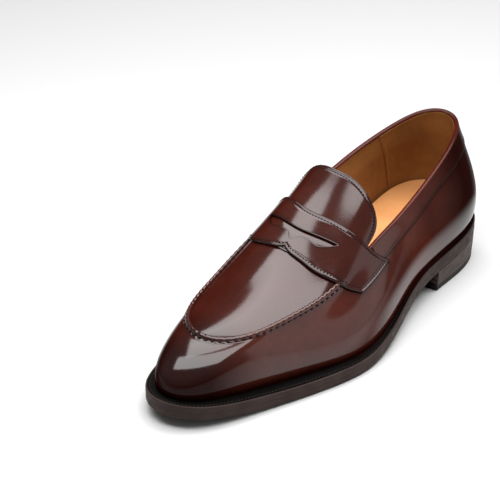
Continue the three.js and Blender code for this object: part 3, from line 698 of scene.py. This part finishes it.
def make_wall_piece():
    """The wall of the upper. Behind the waist it shines along its foot and is dull over that."""
    u = np.linspace(0, COUNT, 21 * 22, endpoint=False)
    v = np.concatenate([[-0.03, 0.0, 0.02], np.linspace(0.04, 0.9, 34), np.linspace(0.91, 1.0, 16)])
    uu, vv = np.meshgrid(u, v, indexing="ij")
    p = wall(uu, vv)
    n = wall_normal(uu, vv)
    from_edge = np.linalg.norm(p - p[:, -1:, :], axis=-1)
    in_seam = np.clip((5.4 - np.abs(uu - HALF)) / 0.4, 0, 1)
    edge = p[:, -1, :]
    run = np.concatenate([[0], np.cumsum(np.linalg.norm(np.diff(edge, axis=0), axis=1))])[:, None]
    pucker = np.cos(2 * np.pi * run / SEAM_PITCH)
    lip = 0.5 * np.exp(-((from_edge - 2.0) / 1.1) ** 2) - 0.9 * np.exp(-((from_edge / 0.7) ** 2))
    lip = lip + 0.3 * pucker * np.exp(-((from_edge - 1.5) / 1.1) ** 2)
    outer = lip * in_seam
    top = p + n * outer[..., None]
    bottom = p - n * UPPER
    verts = np.concatenate([top.reshape(-1, 3), bottom.reshape(-1, 3)])
    faces = facing_out(verts, shell_faces(len(u), len(v), True))
    obj = new_object("side_panel_leather", verts, faces, WALL_LEATHER_PAINTED_LIGHTER)
    # Painted shade: darker along the wall's foot, where it tucks into the welt, and in the crease beside the apron
    # seam. It reaches the material together with the other pieces' rim darkening.
    shade = np.exp(-from_edge / 1.2) * in_seam + 1.4 * np.exp(-np.maximum(vv, 0) * 24)
    shade = np.minimum(shade, 1)
    low = 1 - fade((vv - LOW_SHINE[0]) / (LOW_SHINE[1] - LOW_SHINE[0]))
    foot = 1 - fade((vv - 0.02) / 0.035)
    waist = fade((p[..., 1] - SHINE_FROM) / SHINE_RUN)
    heel = fade((p[..., 1] - DULL_FROM) / DULL_RUN)
    shades = {"rim_and_painted_shade": shade, "dull": np.maximum(foot, 0.75 * heel * (1 - low)), "shine": low * waist * (1 - foot)}
    for name, value in shades.items():
        paint(obj, name, np.tile(value.ravel(), 2))
    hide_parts("side_panel")
    return obj


def make_apron():
    r = np.linspace(0, 1, 150)
    c = np.sin(np.linspace(-1, 1, 90) * math.pi / 2)
    rr, cc = np.meshgrid(r, c, indexing="ij")
    station = 0.03 + (strap_rear(cc) - 0.14 - 0.03) * rr ** 1.5
    p = skin(station, cc)
    n = skin_normal(station, cc)
    obj = leather("apron_leather", p, n, 0.0, -UPPER, UPPER_LEATHER, sides="c0c1r0", radius=0.4)
    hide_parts("apron")
    return obj


def make_apron_rim():
    """The apron's edge, rolled into a bead that stands over the seam."""
    u, p, n = seam_line()
    tangent = unit(np.gradient(p, axis=0))
    inward = unit(np.cross(n, tangent))
    if inward[len(u) // 2][1] < 0:
        inward = -inward
    run = np.concatenate([[0], np.cumsum(np.linalg.norm(np.diff(p, axis=0), axis=1))])
    swell = 1 + 0.08 * np.cos(2 * np.pi * run / SEAM_PITCH)
    angles = np.linspace(0, 2 * np.pi, 20, endpoint=False)
    rings = []
    for a in angles:
        across = math.cos(a) * 1.55
        height = math.sin(a) * 1.25
        rings.append(p + inward * (0.75 + across * swell[:, None]) + n * (0.30 + height * swell[:, None]))
    grid = np.stack(rings, 1)
    cols = len(angles)
    verts = grid.reshape(-1, 3)
    faces = []
    for i in range(len(u) - 1):
        for j in range(cols):
            k = (j + 1) % cols
            faces.append([i * cols + j, (i + 1) * cols + j, (i + 1) * cols + k, i * cols + k])
    faces.append(list(range(cols)))
    faces.append([(len(u) - 1) * cols + j for j in range(cols)][::-1])
    obj = new_object("apron_rim", verts, facing_out(verts, faces), BEAD_LEATHER_PAINTED_LIGHTER)
    return obj


def make_apron_stitches():
    u, p, n = seam_line(reach=4.6)
    wall_out = wall_normal(u, np.full_like(u, 0.97))
    outer = wall(u, np.full_like(u, 0.965)) + wall_out * 0.35
    outer_row = stitches("apron_stitches", [(outer, wall_out)], SEAM_PITCH, 2.7, 1.0, DARK_THREAD, sink=0.25, slant=0.2)
    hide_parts("apron_thread")
    tangent = unit(np.gradient(p, axis=0))
    inward = unit(np.cross(n, tangent))
    if inward[len(u) // 2][1] < 0:
        inward = -inward
    inner = p + inward * 2.15 + n * 0.12
    stitches("apron_inner_stitches", [(inner, n)], SEAM_PITCH, 2.2, 0.34, DARK_THREAD, sink=0.1, slant=0.1)


def make_strap():
    """The saddle strap: two bands of rows, ahead of the slot and behind it, that share their line
    outside the slot."""
    slot_from, slot_to = SLOT_MIDDLE - SLOT_HALF, SLOT_MIDDLE + SLOT_HALF
    a = np.concatenate([
        np.linspace(-STRAP_END, -STRAP_END + 0.03, 6)[:-1],
        np.linspace(-STRAP_END + 0.03, slot_from, 46)[:-1],
        np.linspace(slot_from, slot_to, 150),
        np.linspace(slot_to, STRAP_END - 0.03, 46)[1:],
        np.linspace(STRAP_END - 0.03, STRAP_END, 6)[1:]])
    shares = dense_ends(16, (0.0, 0.006, 0.018, 0.035, 0.06, 0.1))
    front = strap_front(a)[:, None]
    rear = strap_rear(a)[:, None]
    cut_front = np.where(np.abs(a - SLOT_MIDDLE) < SLOT_HALF, slot_front(a), slot_rear(a))[:, None]
    cut_rear = slot_rear(a)[:, None]
    bands = [front + (cut_front - front) * shares, cut_rear + (rear - cut_rear) * shares]
    aa = np.repeat(a[:, None], len(shares), 1)
    points = [skin(b, aa) for b in bands]
    normals = [skin_normal(b, aa) for b in bands]
    open_slot = np.clip((SLOT_HALF - np.abs(a - SLOT_MIDDLE)) / 0.03, 0, 1)[:, None]
    verts, faces, rims = [], [], []
    for index, (p, n) in enumerate(zip(points, normals)):
        outline = "c0" if index == 0 else "c1"
        e = border_distance(p, outline + "r0r1")
        slot_side = border_distance(p, "c1" if index == 0 else "c0")
        drop = round_drop(e, 0.8) + open_slot * round_drop(slot_side, 0.5)
        drop = drop + 0.24 * np.exp(-((e - 2.4) / 0.5) ** 2) - 0.16 * np.exp(-((e - 1.35) / 0.65) ** 2)
        top = p + n * (STRAP_LIFT + STRAP - drop)[..., None]
        bottom = p + n * STRAP_LIFT
        start = len(verts)
        rows, cols = p.shape[:2]
        verts.extend(top.reshape(-1, 3))
        verts.extend(bottom.reshape(-1, 3))
        size = rows * cols
        faces += grid_faces(rows, cols, False, start) + grid_faces(rows, cols, False, start + size, True)
        rims.extend(np.tile(np.exp(-np.minimum(e, slot_side + 9 * (1 - open_slot)) / 1.6).ravel(), 2))
        for i in range(rows - 1):
            for j, flip in ((0, False), (cols - 1, True)):
                is_slot = (index == 0) == (j == cols - 1)
                middle = (a[i] + a[i + 1]) / 2
                if is_slot and abs(middle - SLOT_MIDDLE) >= SLOT_HALF:
                    continue
                face = [start + i * cols + j, start + size + i * cols + j,
                        start + size + (i + 1) * cols + j, start + (i + 1) * cols + j]
                faces.append(face[::-1] if flip else face)
        for j in range(cols - 1):
            for i, flip in ((0, True), (rows - 1, False)):
                face = [start + i * cols + j, start + size + i * cols + j,
                        start + size + i * cols + j + 1, start + i * cols + j + 1]
                faces.append(face[::-1] if flip else face)
    faces = facing_out(verts, faces)
    obj = new_object("saddle_strap_leather", verts, faces, UPPER_LEATHER)
    attribute = obj.data.attributes.new("rim_and_painted_shade", "FLOAT", "POINT")
    attribute.data.foreach_set("value", np.array(rims, np.float32))
    weld(obj, 0.004)
    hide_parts("saddle_strap")
    return obj


def make_strap_underlay():
    """The piece seen through the slot, just under the strap."""
    aa, ss = np.meshgrid(np.linspace(SLOT_MIDDLE - SLOT_HALF - 0.08, SLOT_MIDDLE + SLOT_HALF + 0.08, 110), np.linspace(0, 1, 24), indexing="ij")
    station = slot_rear(aa) - 0.62 + 0.68 * ss
    fall = 0.7 * np.clip((ss - 0.55) / 0.4, 0, 1) ** 2
    top = STRAP_LIFT + 0.75 - fall
    leather("saddle_strap_underlay", skin(station, aa), skin_normal(station, aa), top, top - 0.7, UPPER_LEATHER,
            radius=0.3)


def weld(obj, distance_mm):
    bm = bmesh.new()
    bm.from_mesh(obj.data)
    bmesh.ops.remove_doubles(bm, verts=bm.verts, dist=distance_mm * MM)
    bmesh.ops.recalc_face_normals(bm, faces=bm.faces)
    bm.to_mesh(obj.data)
    bm.free()
    obj.data.set_sharp_from_angle(angle=math.radians(38))


def on_strap(station, across, lift=0.0):
    p = skin(station, across)
    n = skin_normal(station, across)
    return p + n * (STRAP_LIFT + STRAP + lift), n


def shifted(line, other, distance):
    """Stations moved from one outline towards another by a distance in millimetres."""
    def move(a):
        s = line(a)
        step = np.sign(other(a) - s) * 0.02
        per = np.linalg.norm(skin(s + step, a) - skin(s, a), axis=-1) / 0.02
        slope = (line(a + 0.01) - line(a - 0.01)) / 0.02
        width = np.linalg.norm(skin(s, a + 0.01) - skin(s, a - 0.01), axis=-1) / 0.02
        tilt = np.sqrt(1 + (slope * per / width) ** 2)
        return s + np.sign(step) * distance / per * tilt
    return move


def make_strap_stitches():
    lines = []
    inner_end = STRAP_END - 0.05
    a = np.linspace(-inner_end, inner_end, 500)
    lines.append(on_strap(shifted(strap_front, strap_rear, 2.4)(a), a, -0.14))
    lines.append(on_strap(shifted(strap_rear, strap_front, 2.4)(a), a, -0.14))
    stitches("strap_stitches", lines, 2.2, 1.6, 0.40, DARK_THREAD, sink=-0.1)
    ends = []
    for side in (-1, 1):
        for inset in (0.045, 0.085):
            edge = side * (STRAP_END - inset)
            front = shifted(strap_front, strap_rear, 2.4)(np.array(edge))
            rear = shifted(strap_rear, strap_front, 2.4)(np.array(edge))
            s = np.linspace(front, rear, 80)
            ends.append(on_strap(s, np.full_like(s, edge), -0.12))
    stitches("strap_end_stitches", ends, 2.1, 1.5, 0.34, DARK_THREAD, sink=0.0)
    tacks = []
    for side in (-1, 1):
        for step in (-0.010, 0.0, 0.010):
            edge = side * np.linspace(STRAP_END - 0.055, STRAP_END + 0.03, 12)
            s = np.full_like(edge, strap_rear(STRAP_END) - 0.10) + step * 3
            p = skin(s, edge)
            n = skin_normal(s, edge)
            tacks.append((p + n * (STRAP_LIFT + STRAP - 0.1), n))
    return stitches("strap_bar_tacks", tacks, 3.4, 3.2, 0.25, DARK_THREAD, sink=0.2)


def make_tongue():
    s = np.sin(np.linspace(-1, 1, 121) * math.pi / 2)
    r = np.linspace(0, 1, 70) ** 0.8
    rr, ss = np.meshgrid(r, s * 0.99999, indexing="ij")
    across = ss * TONGUE_HALF
    start = np.minimum(strap_rear(across) - 0.12, tongue_end(ss) - 0.01)
    station = start + (tongue_end(ss) - start) * rr
    p = skin(station, across)
    n = skin_normal(station, across)
    outline = p[-1]
    gaps = np.linalg.norm(p[:, :, None, :] - outline[None, None, ::2, :], axis=-1).min(-1)
    drop = round_drop(gaps, 0.7) + 0.14 * np.exp(-((gaps - 2.4) / 0.5) ** 2)
    rows, cols = p.shape[:2]
    rim_and_painted_shade = np.tile(np.exp(-gaps / 1.6).ravel(), 2)
    pieces = []
    for name, outer, inner, mat, slot, node in (
            ("tongue_leather", -drop, np.full_like(gaps, -1.3), UPPER_LEATHER, "upper_leather", "tongue"),
            ("tongue_lining_leather", np.full_like(gaps, -1.33), -2.3 + round_drop(gaps, 0.5), LINING_LEATHER,
             "lining_leather", "tongue_lining")):
        verts = np.concatenate([(p + n * outer[..., None]).reshape(-1, 3), (p + n * inner[..., None]).reshape(-1, 3)])
        faces = facing_out(verts, shell_faces(rows, cols))
        obj = new_object(name, verts, faces, mat, body=None)
        paint(obj, "rim_and_painted_shade", rim_and_painted_shade)
        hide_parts(node)
        pieces.append(obj)
    # the stitch row runs three millimetres inside the outline
    share = np.sin(np.linspace(-0.96, 0.96, 400) * math.pi / 2)
    end = tongue_end(share)
    line = skin(end, share * TONGUE_HALF)
    normal = skin_normal(end, share * TONGUE_HALF)
    inward = unit(np.cross(normal, np.gradient(line, axis=0)))
    if inward[200][1] > 0:
        inward = -inward
    row = line + inward * 2.4
    keep = skin_keep(row)
    thread = stitches("tongue_stitches", [(row[keep] - normal[keep] * 0.06, normal[keep])], 2.2, 1.6, 0.38,
                      DARK_THREAD, sink=-0.1, body=None)
    pieces.append(thread)
    return pieces


def skin_keep(row):
    """The part of the tongue's stitch row that lies behind the strap."""
    return row[:, 2] > 58


def collar_seam(u):
    """How far up the wall the collar band ends: the band narrows towards the heel."""
    near_heel = np.clip((3.7 - np.abs(u)) / 1.0, 0, 1)
    return 0.735 + 0.06 * near_heel ** 2 * (3 - 2 * near_heel)


def make_collar():
    """The collar band, lapped over the wall under the topline, from the strap round the heel."""
    share = np.concatenate([[0, 0.01, 0.03, 0.06, 0.1, 0.15], np.linspace(0.2, 1, 18)])
    reach = HALF - (strap_rear(1.27) - 0.25)
    uu, ss = np.meshgrid(np.linspace(-reach, reach, 420), share, indexing="ij")
    vv = collar_seam(uu) + (1 - collar_seam(uu)) * ss
    p = wall(uu, vv)
    n = wall_normal(uu, vv)
    obj = leather("collar_band_leather", p, n, 0.6, 0.05, COLLAR_LEATHER_PAINTED_LIGHTER, sides="c0", radius=0.55,
                  grooves=((1.9, 0.16, 0.45),))
    paint(obj, "dull", np.tile(0.6 * fade((p[..., 1].ravel() - DULL_FROM) / DULL_RUN), 2))
    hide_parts("collar_band")
    line_u = np.linspace(-reach - 0.02, reach + 0.02, 900)
    line_v = collar_seam(line_u) + 0.026
    m = wall_normal(line_u, line_v)
    stitches("collar_stitches", [(wall(line_u, line_v) + m * 0.56, m)], 2.2, 1.5, 0.3, DARK_THREAD, sink=0.0)


def make_binding():
    """The topline's rolled edge, a rounded lip from the collar over to the lining."""
    u = np.linspace(-1, 1, 420) * (HALF - strap_rear(1.0) + 0.12)
    edge = wall(u, np.ones_like(u))
    below = wall(u, np.full_like(u, 0.93))
    up = unit(edge - below)
    out = wall_normal(u, np.ones_like(u))
    across = unit(out - up * (out * up).sum(-1, keepdims=True))
    depth = UPPER + LINING + 0.55
    angles = np.linspace(-0.35 * math.pi, 1.35 * math.pi, 22)
    rings = [edge + across * (0.55 - depth / 2 + math.cos(a) * (depth / 2 + 0.2)) + up * (0.3 + math.sin(a) * 1.15)
             for a in angles]
    grid = np.stack(rings, 1)
    cols = len(angles)
    verts = grid.reshape(-1, 3)
    faces = []
    for i in range(len(u) - 1):
        for j in range(cols):
            k = (j + 1) % cols
            faces.append([i * cols + j, (i + 1) * cols + j, (i + 1) * cols + k, i * cols + k])
    faces.append(list(range(cols)))
    faces.append([(len(u) - 1) * cols + j for j in range(cols)][::-1])
    obj = new_object("topline_binding_leather", verts, facing_out(verts, faces), BINDING_LEATHER)
    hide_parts("topline_binding")


# ---------------------------------------------------------------- the linings

HEEL_REACH = 2.2
VAMP_REACH = 5.0


def lining_depth(v, low, high):
    """How far in a lining lies: deep where the stiffeners are, and near the upper at the topline."""
    rise = np.clip((v - 0.7) / 0.26, 0, 1)
    return low + (high - low) * rise ** 2 * (3 - 2 * rise)


def wall_lining(name, u_from, u_to, v_to, low, high, thickness, node, sides=""):
    u = np.linspace(u_from, u_to, int(abs(u_to - u_from) * 18) + 2)
    v = np.linspace(-0.02, v_to, 60)
    uu, vv = np.meshgrid(u, v, indexing="ij")
    outer = lining_depth(vv, low, high)
    obj = leather(name, wall(uu, vv), wall_normal(uu, vv), outer, outer - thickness, LINING_LEATHER,
                  sides=sides, radius=0.4)
    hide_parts(node)
    return obj


def make_linings():
    wall_lining("quarter_lining_lateral_leather", HEEL_REACH - 0.2, HALF - VAMP_REACH + 0.3, 1.0, -2.85, -1.55, 0.7,
                "quarter_lining_lateral")
    wall_lining("quarter_lining_medial_leather", HALF + VAMP_REACH - 0.3, COUNT - HEEL_REACH + 0.2, 1.0, -2.85, -1.55, 0.7,
                "quarter_lining_medial")
    wall_lining("heel_lining_leather", -HEEL_REACH, HEEL_REACH, 1.0, -3.6, -2.2, 0.6, "heel_lining", sides="r0r1")
    wall_lining("vamp_lining_leather", HALF - VAMP_REACH, HALF + VAMP_REACH, 0.93, -3.6, -3.3, 0.8, "vamp_lining")
    seams = []
    for u in (-HEEL_REACH + 0.08, HEEL_REACH - 0.08):
        v = np.linspace(0.08, 0.95, 160)
        uu = np.full_like(v, u)
        n = -wall_normal(uu, v)
        depth = lining_depth(v, -3.6, -2.2) - 0.6
        seams.append((wall(uu, v) - n * depth[:, None], n))
    stitches("lining_stitches", seams, 2.0, 1.4, 0.22, TAN_THREAD, sink=0.1)
    rr, cc = np.meshgrid(np.linspace(0.02, 1, 60), np.linspace(-0.93, 0.93, 50), indexing="ij")
    station = 0.3 + (strap_rear(cc) - 0.2 - 0.3) * rr
    obj = leather("apron_lining_leather", skin(station, cc), skin_normal(station, cc), -UPPER - 0.5, -UPPER - 1.4,
                  LINING_LEATHER, sides="")
    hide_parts("apron_lining")


# ---------------------------------------------------------------- the bottom

RING = 21 * 20
RING_U = np.linspace(0, COUNT, RING, endpoint=False)


def sole_ring(inset, height):
    """A closed ring inside the sole's edge at a height above the underside, or given by a function."""
    plan = on_loop(inset_edge(inset), RING_U)
    z = height(plan[:, 1]) if callable(height) else underside(plan[:, 1]) + height
    return np.column_stack([plan, z])


def rings_to_solid(name, rings, mat, node, cap_bottom=True, cap_top=True, sharp=38):
    """Joins rings of equal count into a wall, and spans each end from side to side."""
    n = len(rings[0])
    verts = np.concatenate(rings)
    faces = []
    for k in range(len(rings) - 1):
        for i in range(n):
            j = (i + 1) % n
            faces.append([k * n + i, k * n + j, (k + 1) * n + j, (k + 1) * n + i])
    def span(start, flip):
        for i in range(n // 2):
            quad = [start + i, start + i + 1, start + (n - i - 1) % n, start + (n - i) % n]
            quad = list(dict.fromkeys(quad))
            if len(quad) > 2:
                faces.append(quad[::-1] if flip else quad)
    if cap_bottom:
        span(0, False)
    if cap_top:
        span((len(rings) - 1) * n, True)
    if not (cap_bottom and cap_top):
        for i in range(n):
            j = (i + 1) % n
            last = (len(rings) - 1) * n
            faces.append([last + i, last + j, j, i])
    obj = new_object(name, verts, facing_out(verts, faces), mat, sharp=sharp)
    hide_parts(node)
    return obj


def make_outsole():
    rings = [sole_ring(26, 0.0), sole_ring(6.0, 0.0), sole_ring(5.6, 0.0), sole_ring(5.2, 0.35), sole_ring(4.8, 0.35),
             sole_ring(4.4, 0.0), sole_ring(1.3, 0.0), sole_ring(0.7, 0.12), sole_ring(0.3, 0.4), sole_ring(0.1, 0.9),
             sole_ring(0.0, 1.6), sole_ring(0.0, 4.6), sole_ring(0.03, 4.7), sole_ring(0.12, 4.8), sole_ring(12, 4.8)]
    return rings_to_solid("outsole_leather", rings, EDGE_LEATHER, "outsole", sharp=50)


def partial_rings(name, profile, u, mat, node, dark_from=99):
    """A strip along part of the sole's edge with a closed section, capped at both ends. profile lists
    (inset, height above the underside). Points from number dark_from on are painted near black: shade in the gap under
    the upper, which on the welt is also its own black top."""
    rows = []
    for inset, height in profile:
        plan = on_loop(inset_edge(inset), u)
        z = height(plan[:, 1]) if callable(height) else underside(plan[:, 1]) + height
        rows.append(np.column_stack([plan, z]))
    grid = np.stack(rows, 1)
    cols = len(profile)
    verts = grid.reshape(-1, 3)
    faces = []
    for i in range(len(u) - 1):
        for j in range(cols):
            k = (j + 1) % cols
            faces.append([i * cols + j, (i + 1) * cols + j, (i + 1) * cols + k, i * cols + k])
    faces.append(list(range(cols)))
    faces.append([(len(u) - 1) * cols + j for j in range(cols)][::-1])
    obj = new_object(name, verts, facing_out(verts, faces), mat, sharp=50)
    # Painted shade under the upper: near black from point dark_from on.
    top = np.tile(np.arange(cols) >= dark_from, len(u)).astype(np.float32)
    obj.data.attributes.new("top", "FLOAT", "POINT").data.foreach_set("value", top)
    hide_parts(node)
    return obj


WELT_REACH = 7.05


def make_welt():
    u = np.linspace(HALF - WELT_REACH, HALF + WELT_REACH, 560)
    profile = [(12, OUTSOLE + 0.02), (0.12, OUTSOLE + 0.02), (0.03, OUTSOLE + 0.1), (0.0, OUTSOLE + 0.25), (0.0, WELT_TOP - 0.6),
               (0.1, WELT_TOP - 0.2), (0.35, WELT_TOP), (0.75, WELT_TOP + 0.02), (1.1, WELT_TOP - 0.1),
               (1.7, WELT_TOP - 0.3), (2.4, WELT_TOP - 0.45), (3.2, WELT_TOP - 0.45), (4.2, WELT_TOP - 0.2), (12, WELT_TOP)]
    # From profile point 8 on, the welt's top is painted near black: partly its own black and partly painted shade under
    # the upper.
    obj = partial_rings("welt_leather", profile, u, WELT_LEATHER, "welt", 8)
    reach = 5.3
    line_u = np.linspace(HALF - reach, HALF + reach, 900)
    inset = on_loop(np.column_stack([0.36 * FOOT_INSET, FOOT_INSET]), line_u)[:, 0]
    edge = on_loop(SOLE_EDGE, line_u)
    out = on_loop(OUTWARD, line_u)
    plan = edge - unit(out) * inset[:, None]
    line = np.column_stack([plan, underside(plan[:, 1]) + WELT_TOP - 0.3])
    up = np.tile([0.0, 0.0, 1.0], (len(line), 1))
    thread = stitches("welt_stitches", [(line, up)], 2.3, 1.6, 0.36, WELT_THREAD, sink=0.1)
    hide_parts("welt_thread")
    return obj


def make_rand():
    """The rand carries the sole's edge round the heel, and a near-black lip over it meets the upper: painted shade in
    the gap where the upper tucks in.
    """
    u = np.linspace(-(HALF - WELT_REACH), HALF - WELT_REACH, 260)
    foot = lambda y: seat(y) + 0.4
    profile = [(12, OUTSOLE + 0.02), (0.12, OUTSOLE + 0.02), (0.03, OUTSOLE + 0.1), (0.0, OUTSOLE + 0.25), (0.0, WELT_TOP - 0.6),
               (0.1, WELT_TOP - 0.2), (0.4, WELT_TOP), (1.0, WELT_TOP - 0.1), (1.8, WELT_TOP - 0.1), (2.4, WELT_TOP + 0.3),
               (2.6, foot), (12, foot)]
    # From profile point 7 on, the lip is painted near black as shade in the gap under the upper.
    partial_rings("heel_rand_leather", profile, u, WELT_LEATHER, "heel_rand", 7)


def heel_outline(inset):
    """Closed outline of the heel from the middle of its back, lateral side first, with an inset.
    Its front face, the breast, is a shallow hollow line."""
    lateral_u = np.linspace(0, 3.12, 90)
    medial_u = np.linspace(COUNT - 3.48, COUNT, 90)
    edge = inset_edge(inset)
    lateral = on_loop(edge, lateral_u)
    medial = on_loop(edge, medial_u)[:-1]
    a, b = lateral[-1], medial[0]
    t = np.linspace(0, 1, 61)[1:-1]
    breast = a + (b - a) * t[:, None]
    breast[:, 1] += 2.2 * np.sin(np.pi * t) ** 0.8
    return np.vstack([lateral, breast, medial])


def bevelled_heel(name, low, high, mat, node, edge=0.25, bottom_edge=None):
    """One layer of the heel, between heights given in millimetres or as functions of y."""
    bottom_edge = edge if bottom_edge is None else bottom_edge
    at = lambda h, y: h(y) if callable(h) else np.full_like(y, h)
    def ring(extra, height_from, shift):
        z0 = float(at(height_from, np.array([BREAST_Y]))[0]) + shift
        taper = HEEL_TAPER * (1 - np.clip(z0 / HEEL_BREAST, 0, 1))
        plan = heel_outline(0.2 + taper + extra)
        return np.column_stack([plan, at(height_from, plan[:, 1]) + shift])
    rings = [ring(14, low, 0), ring(bottom_edge, low, 0), ring(bottom_edge * 0.3, low, bottom_edge * 0.3), ring(0, low, bottom_edge),
             ring(0, high, -edge), ring(edge * 0.3, high, -edge * 0.3), ring(edge, high, 0), ring(14, high, 0)]
    return rings_to_solid(name, rings, mat, node, sharp=50)


def make_heel():
    first = TOP_PIECE
    second = TOP_PIECE + LIFT + 0.3
    third = TOP_PIECE + 2 * (LIFT + 0.3)
    bevelled_heel("heel_top_piece_rubber", 0.0, first, HEEL_RUBBER, "heel_top_piece", 0.15, 0.5)
    bevelled_heel("heel_lift_1_leather", first + 0.02, second, HEEL_LEATHER, "heel_lift_1", 0.12)
    bevelled_heel("heel_lift_2_leather", second + 0.02, third, HEEL_LEATHER, "heel_lift_2", 0.12)
    bevelled_heel("heel_wedge_leather", third + 0.02, lambda y: underside(y) - 0.02, HEEL_LEATHER, "heel_wedge", 0.12)


def make_sock():
    thickness = 4.3
    inset = lambda extra: FOOT_INSET + thickness + extra
    back = lambda y: np.clip((y - 30) / 60, 0, 1)
    base = lambda y: seat(y) + INSOLE + HEEL_PAD * back(y) ** 2 * (3 - 2 * back(y)) + GAP
    top = lambda lift: (lambda y: base(y) + lift)
    rings = [sole_ring(inset(16), base), sole_ring(inset(0.3), base), sole_ring(inset(0.0), top(0.5)), sole_ring(inset(0.15), top(0.85)),
             sole_ring(inset(0.5), top(1.0)), sole_ring(inset(2.0), top(0.9)), sole_ring(inset(6), top(0.7)), sole_ring(inset(12), top(0.6)),
             sole_ring(inset(18), top(0.6))]
    rings_to_solid("sock_liner_leather", rings, SOCK_LEATHER, "sock_liner", sharp=60)


make_wall_piece()
make_apron()
make_apron_rim()
make_apron_stitches()
make_strap()
make_strap_underlay()
make_strap_stitches()
tongue_pieces = make_tongue()
make_collar()
make_binding()
make_linings()
make_outsole()
make_welt()
make_rand()
make_heel()
make_sock()

# The tongue's pieces belong to no body; their placement is baked into their meshes.
for piece in tongue_pieces:
    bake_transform(piece)

# CAD nodes that stay: the pieces inside the shoe, which keep their shapes and get their finishes.
FINISHES = {"insole": FIBRE_BOARD, "toe_puff": FIBRE_BOARD, "heel_counter": FIBRE_BOARD, "cork_filler": CORK,
            "heel_filler": CORK, "heel_pad": CORK, "shank": STEEL}
FINISHES.update({name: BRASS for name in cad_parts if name.startswith("heel_nail")})
for name, finish in FINISHES.items():
    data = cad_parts[name].data
    data.materials.clear()
    data.materials.append(finish)


# ---------------------------------------------------------------- floor, light and camera

def make_floor():
    bpy.ops.mesh.primitive_plane_add(size=12)
    floor = bpy.context.object
    floor.name = "floor"
    mat = material("floor_paint", (0.62, 0.62, 0.62), 0.6, specular=0.25)
    n = Nodes(mat)
    n.colour(n.mix(n.noise(600, 2), (0.62, 0.62, 0.62), (0.60, 0.60, 0.60)))
    floor.data.materials.append(mat)


def softbox(name, azimuth, elevation, distance, size, radiance, roll=0.0):
    """An area light aimed at the middle of the shoe. Azimuth 0 is ahead of the toe and 90 is the
    lateral side. Size is width and height in metres."""
    az, el, turn = math.radians(azimuth), math.radians(elevation), math.radians(roll)
    away = np.array([math.sin(az) * math.cos(el), -math.cos(az) * math.cos(el), math.sin(el)])
    level = unit(np.cross((0.0, 0.0, 1.0), away))
    rising = np.cross(away, level)
    x = level * math.cos(turn) + rising * math.sin(turn)
    y = rising * math.cos(turn) - level * math.sin(turn)
    light = bpy.data.lights.new(name, "AREA")
    light.shape = "RECTANGLE"
    light.size, light.size_y = size
    light.energy = radiance * math.pi * size[0] * size[1]
    obj = bpy.data.objects.new(name, light)
    bpy.context.scene.collection.objects.link(obj)
    place = away * distance + np.array([0, -0.02, 0.05])
    obj.matrix_world = Matrix([[x[k], y[k], away[k], place[k]] for k in range(3)] + [[0, 0, 0, 1]])


def make_lights():
    softbox("main_box", -173.6, 67.4, 1.13, (1.6, 0.67), 6.0, 18.8)
    softbox("toe_box", 5, 70.8, 0.53, (0.82, 0.27), 6.0, 10)
    softbox("side_box", 117.8, 14.7, 1.05, (0.90, 0.63), 0.8, 2.2)
    world = bpy.data.worlds.new("studio")
    world.use_nodes = True
    world.node_tree.nodes["Background"].inputs["Color"].default_value = (1, 1, 1, 1)
    world.node_tree.nodes["Background"].inputs["Strength"].default_value = 0.22
    bpy.context.scene.world = world


AZIMUTH = 39.11
ELEVATION = 28.85
DISTANCE = 1040.9
TARGET = np.array([-22.3, -37.1, 60.9])
LENS = 123.1


def make_camera():
    az, el = math.radians(AZIMUTH), math.radians(ELEVATION)
    back = np.array([math.sin(az) * math.cos(el), -math.cos(az) * math.cos(el), math.sin(el)])
    camera = bpy.data.cameras.new("camera")
    camera.lens = LENS
    camera.sensor_width = 36
    camera.clip_start = 0.01
    camera.clip_end = 50
    obj = bpy.data.objects.new("camera", camera)
    bpy.context.scene.collection.objects.link(obj)
    obj.location = tuple((TARGET + back * DISTANCE - CENTRE) * MM)
    obj.rotation_euler = (math.radians(90 - ELEVATION), 0, az)
    bpy.context.scene.camera = obj


make_floor()
make_lights()
make_camera()
bpy.context.scene.view_settings.view_transform = "Standard"
